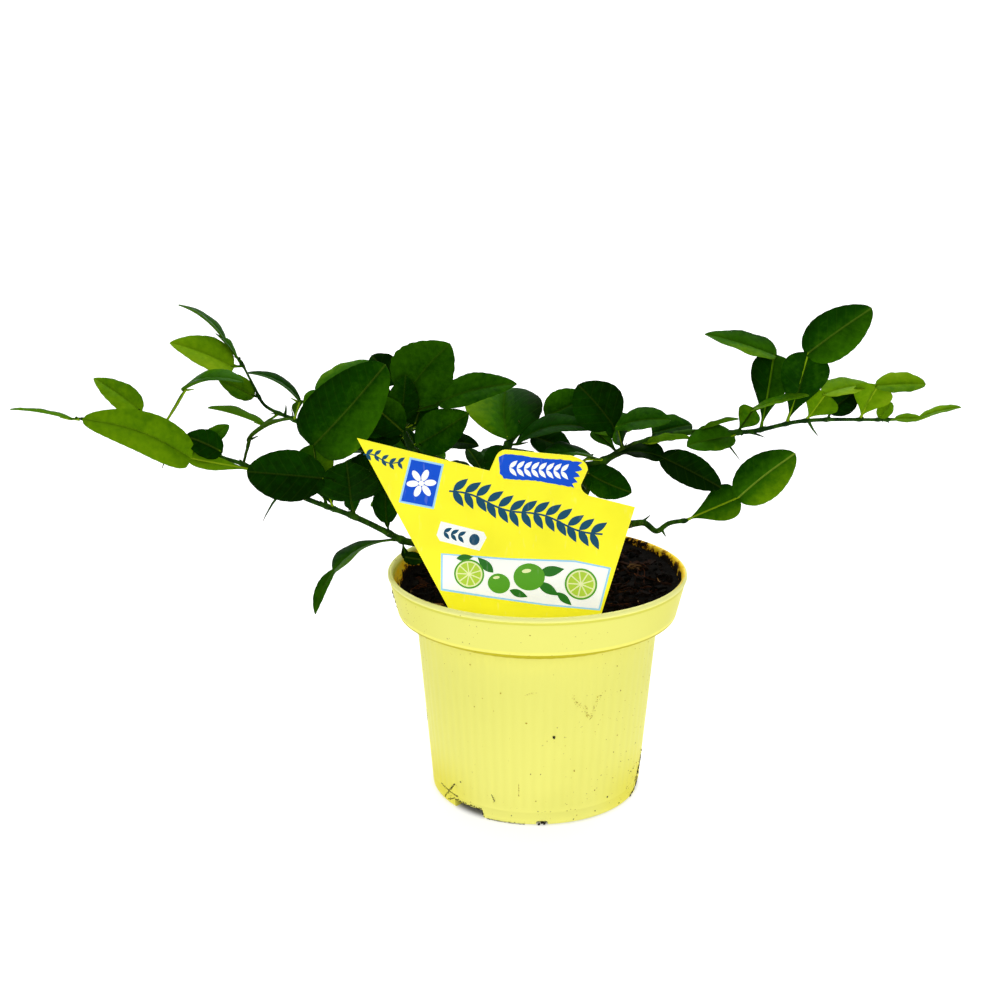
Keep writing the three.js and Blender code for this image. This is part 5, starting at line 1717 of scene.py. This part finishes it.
def add_sheet(heap, kind, start, way, look, length, half, arch, tone, dice, row=()):
    """Adds one wing or blade to a heap of leaves, as a closed shell. row may say more of its form."""
    form = {"blunt": 0.6, "peak": 0.45, "bow": 0, "nicks": 0.7, "fold": 0.7 + 0.7 * dice.random()}
    form.update(row)
    rows = int(min(60, max(18, length * 1.6)))
    along = np.linspace(0, 1, rows) ** 0.96
    width = half_widths(kind, along, half, form["blunt"], form["peak"])
    body = np.clip(width / half, 0, 1)
    nicks = np.abs(np.sin(math.pi * along * length / SCALLOP + dice.random() * 3)) - 0.5
    nicks *= form["nicks"] * (0.24 if kind == "blade" else 0.1)
    width = width + nicks * np.clip(body * 3 - 0.6, 0, 1)
    # The middle line, and the directions across and up along it
    across = unit(np.cross(way, look))
    up = np.cross(across, way)
    twist = (along - 0.35) * dice.normal() * 0.16
    sides = np.outer(np.cos(twist), across) + np.outer(np.sin(twist), up)
    ups = np.outer(np.cos(twist), up) - np.outer(np.sin(twist), across)
    bend = form["bow"] + dice.normal() * 0.02
    centre = (start + np.outer(along * length, way) + np.outer(arch * length * 4 * along * (1 - along), up)
              + np.outer(bend * length * np.sin(math.pi * along), across))
    # Heights of the upper and the under side, over the leaf's width
    v = ACROSS[None, :]
    lateral = v * width[:, None]
    fold = width[:, None] * (0.42 * np.abs(v) - 0.26 * v ** 2) * form["fold"]
    phase = np.where(v > 0, dice.random() * 6, dice.random() * 6)
    wavy = (0.12 + 0.3 * dice.random()) * min(1, half / 7) * np.abs(v) ** 1.7 * body[:, None]
    ripple = wavy * np.sin(math.tau * (2.1 + dice.random()) * along[:, None] + phase)
    veins = along[:, None] * length - np.abs(lateral) * VEIN_SLANT
    raised = -0.13 * np.cos(math.tau * veins / VEIN_SPACING) * body[:, None]
    pucker = raised * (1 - np.abs(v) ** 3) * np.minimum(1, np.abs(lateral) / 1.2)
    crease = -0.3 * np.exp(-(lateral / 0.5) ** 2) * body[:, None]
    top = fold + ripple + pucker + crease
    shell = LEAF_THICKNESS * (1 - 0.7 * v ** 4)
    rib = 0.5 * np.exp(-(lateral / 0.6) ** 2) * (1 - 0.65 * along[:, None])
    under = top - shell - rib * (0.4 + 0.6 * body[:, None])

    def at_heights(heights):
        return (centre[:, None, :] + sides[:, None, :] * lateral[..., None]
                + ups[:, None, :] * heights[..., None])

    rings = np.concatenate([at_heights(top), at_heights(under)[:, ::-1]], axis=1)
    count = rings.shape[1]
    chart = np.stack([np.concatenate([lateral, lateral[:, ::-1]], axis=1) / 100 + 0.5,
                      np.repeat(along[:, None] * length / 100, count, axis=1)], axis=2).reshape(-1, 2)
    own = form.get("own", dice.random())
    side = np.tile(np.repeat([0.0, 1.0], len(ACROSS)), rows)
    tint = np.column_stack([np.full(rows * count, tone), np.full(rows * count, own), side])
    heap.add(rings.reshape(-1, 3), ring_faces(rows, count), tint, chart)


# %% A whole leaf
STALK_RINGS, STALK_SIDES, STALK_SINK = 9, 8, 0.35
STALK_TAPER = np.interp(np.arange(12), [0, 1, 4, 7, 8, 9, 11], [1.35, 0.95, 0.8, 0.85, 1.05, 0.8, 0.3])
LEAST_WING, NARROW_WING_RATIO = 3.4, 0.22


def add_leaf(heap, plan, dice, tone, blade_tone):
    """A whole leaf: its stalk, its wing if it has one, and its blade."""
    row = plan.row
    wing_length, blade_length = row["wing"][2], row["blade"][2] + JOINT_LAP
    arch = row.get("wing_arch", 0)
    wing_up = unit(np.cross(np.cross(plan.wing_way, plan.wing_look), plan.wing_way))
    line = []
    for part in np.linspace(0, 1, STALK_RINGS):
        above = arch * wing_length * 4 * part * (1 - part) - STALK_SINK
        line.append(plan.foot + plan.wing_way * wing_length * part + wing_up * above)
    line += [plan.joint + plan.blade_way * reach - plan.look * 0.4 for reach in (1.2, 2.6, 4)]
    thick = 0.62 if blade_length > 14 else 0.42
    points, faces = tube(line, STALK_TAPER * thick, STALK_SIDES)
    heap.add(points, faces, (min(1, tone + 0.14), dice.random(), 0.35))
    if wing_length >= PLAIN_STALK_UNDER:
        add_sheet(heap, "wing", plan.foot + plan.wing_way * 0.5, plan.wing_way, plan.wing_look, wing_length,
                  wing_length * row.get("wing_wide", WING_RATIO) / 2, arch, tone, dice,
                  {"own": row["own"]} if "own" in row else ())
    elif wing_length > LEAST_WING:
        add_sheet(heap, "wing", plan.foot + plan.wing_way * 0.8, plan.wing_way, plan.wing_look, wing_length,
                  wing_length * NARROW_WING_RATIO, arch, tone, dice)
    add_sheet(heap, "blade", plan.start, plan.blade_way, plan.look, blade_length,
              blade_length * row.get("wide", BLADE_RATIO) / 2, row.get("arch", 0.05), blade_tone, dice,
              {"blunt": 0.3 + 0.6 * dice.random(), "peak": 0.44, **row})


for number, shoot in enumerate(shoots):
    dice = np.random.default_rng(70 + number)
    heap = Heap()
    for plan in shoot.plans:
        # Leaves without a row get low random tones, partly painted shade inside the crown.
        tone = plan.row.get("tone", 0.03 + 0.24 * dice.random())
        add_leaf(heap, plan, dice, tone, plan.row.get("blade_tone", tone))
    shoot.leaf_piece = heap.piece(f"{shoot.name}_leaves")
    soften(shoot.leaf_piece, 50)
    print(shoot.name, "leaves:", len(shoot.leaf_piece.data.polygons), "faces")

# %% [markdown]
# The upper side of a leaf is dark and glossy, young leaves are yellower, and the underside is pale and
# dull. Each leaf carries its tone as a colour attribute; low tones stand partly for painted shade deep in
# the crown, and one side of each midrib is painted lighter than the other, a painted light and shade.
# Veins are drawn in the leaf's own chart, whose scale is true, so they keep their width on every leaf;
# oil glands are a fine bump.

# %% Finish of the leaves
GREENS = [(0.0, (6, 30, 1)), (0.2, (14, 56, 1)), (0.45, (48, 98, 3)), (0.7, (100, 142, 5)),
          (1.0, (140, 172, 24))]
leafy = Finish("leaves", specular_ior_level=0.02, specular_tint=(0.6, 1, 0.16, 1))
tone, own, under = leafy.split(leafy.tint())
chart_x, chart_y, _ = leafy.split(leafy.node("ShaderNodeUVMap", uv_map="chart"))
off_rib = (chart_x - 0.5).maths("ABSOLUTE")
cloud = leafy.noise(95, 5, rough=0.6)
fine = leafy.noise(420, 3)
# Tone from each leaf's own value and noise, with one side of the midrib painted lighter than the other:
# painted light and shade.
tone = (tone + (own - 0.5) * 0.1 + (cloud - 0.5) * 0.3 + (fine - 0.5) * 0.26
        + (chart_x - 0.5) * (own - 0.5) * 6)
stops = [(place, shade(*green)) for place, green in GREENS]
colour = leafy.node("ShaderNodeValToRGB", {"Fac": tone}, stops=stops)
veins = ((chart_y - off_rib * VEIN_SLANT) * (100 / VEIN_SPACING)).maths("FRACT")
vein = (veins - 0.5).maths("ABSOLUTE").rise(0.07, 0.015) * off_rib.rise(0.0004, 0.0014)
rib = off_rib.rise(0.0052, 0.0022)
rib_share = 0.05 + own.rise(0.6, 0.9) * 0.2 + own.rise(0.94, 0.96) * 0.4
for paint, share in (
        ((92, 126, 30), vein * 0.04), ((136, 164, 50), rib * rib_share), ((84, 126, 14), under * 0.42)):
    colour = leafy.paint(colour, paint, share)
leafy.wear("Base Color", colour)
leafy.wear("Roughness", 0.4 + under * 0.25 + fine * 0.16)
leafy.relief(leafy.noise(1500, 2) * 0.35 + cloud * 0.5 - vein * 0.25 - rib * 0.5, 0.12)

# %% Finish of the bark
bark = Finish("bark", specular_ior_level=0.06)
age, _, _ = bark.split(bark.tint())
streak = bark.noise(260, 4, stretch=(1, 1, 0.35), rough=0.6)
patch = bark.noise(90, 3)
green = bark.mix(shade(14, 46, 3), shade(44, 84, 8), streak.rise(0.4, 0.66))
brown = bark.mix(shade(34, 36, 12), shade(94, 88, 44), streak.rise(0.38, 0.64))
colour = bark.mix(green, brown, (age + (patch - 0.5) * 0.7).rise(0.35, 0.85))
bark.wear("Base Color", bark.paint(colour, (140, 138, 90), bark.noise(800, 1).rise(0.72, 0.78) * 0.5))
bark.wear("Roughness", 0.55 + streak * 0.25)
bark.relief(streak + bark.noise(900, 2) * 0.3, 0.25)

kept(trunk_piece, bark, "bark", "trunk")
for shoot in shoots:
    bough_piece, stem_piece = shoot.limb_pieces
    kept(bough_piece, bark, "bark", f"{shoot.name}_bough")
    for piece, finish in ((stem_piece, bark), (shoot.thorn_piece, bark), (shoot.leaf_piece, leafy)):
        kept(piece, finish, "foliage", f"{shoot.name}_foliage")

# %% Size of the finished model beside the CAD
seen_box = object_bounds()
for name, box in (("CAD", cad_box), ("visual", seen_box)):
    print(name, [[round(side / MM, 1) for side in corner] for corner in box])
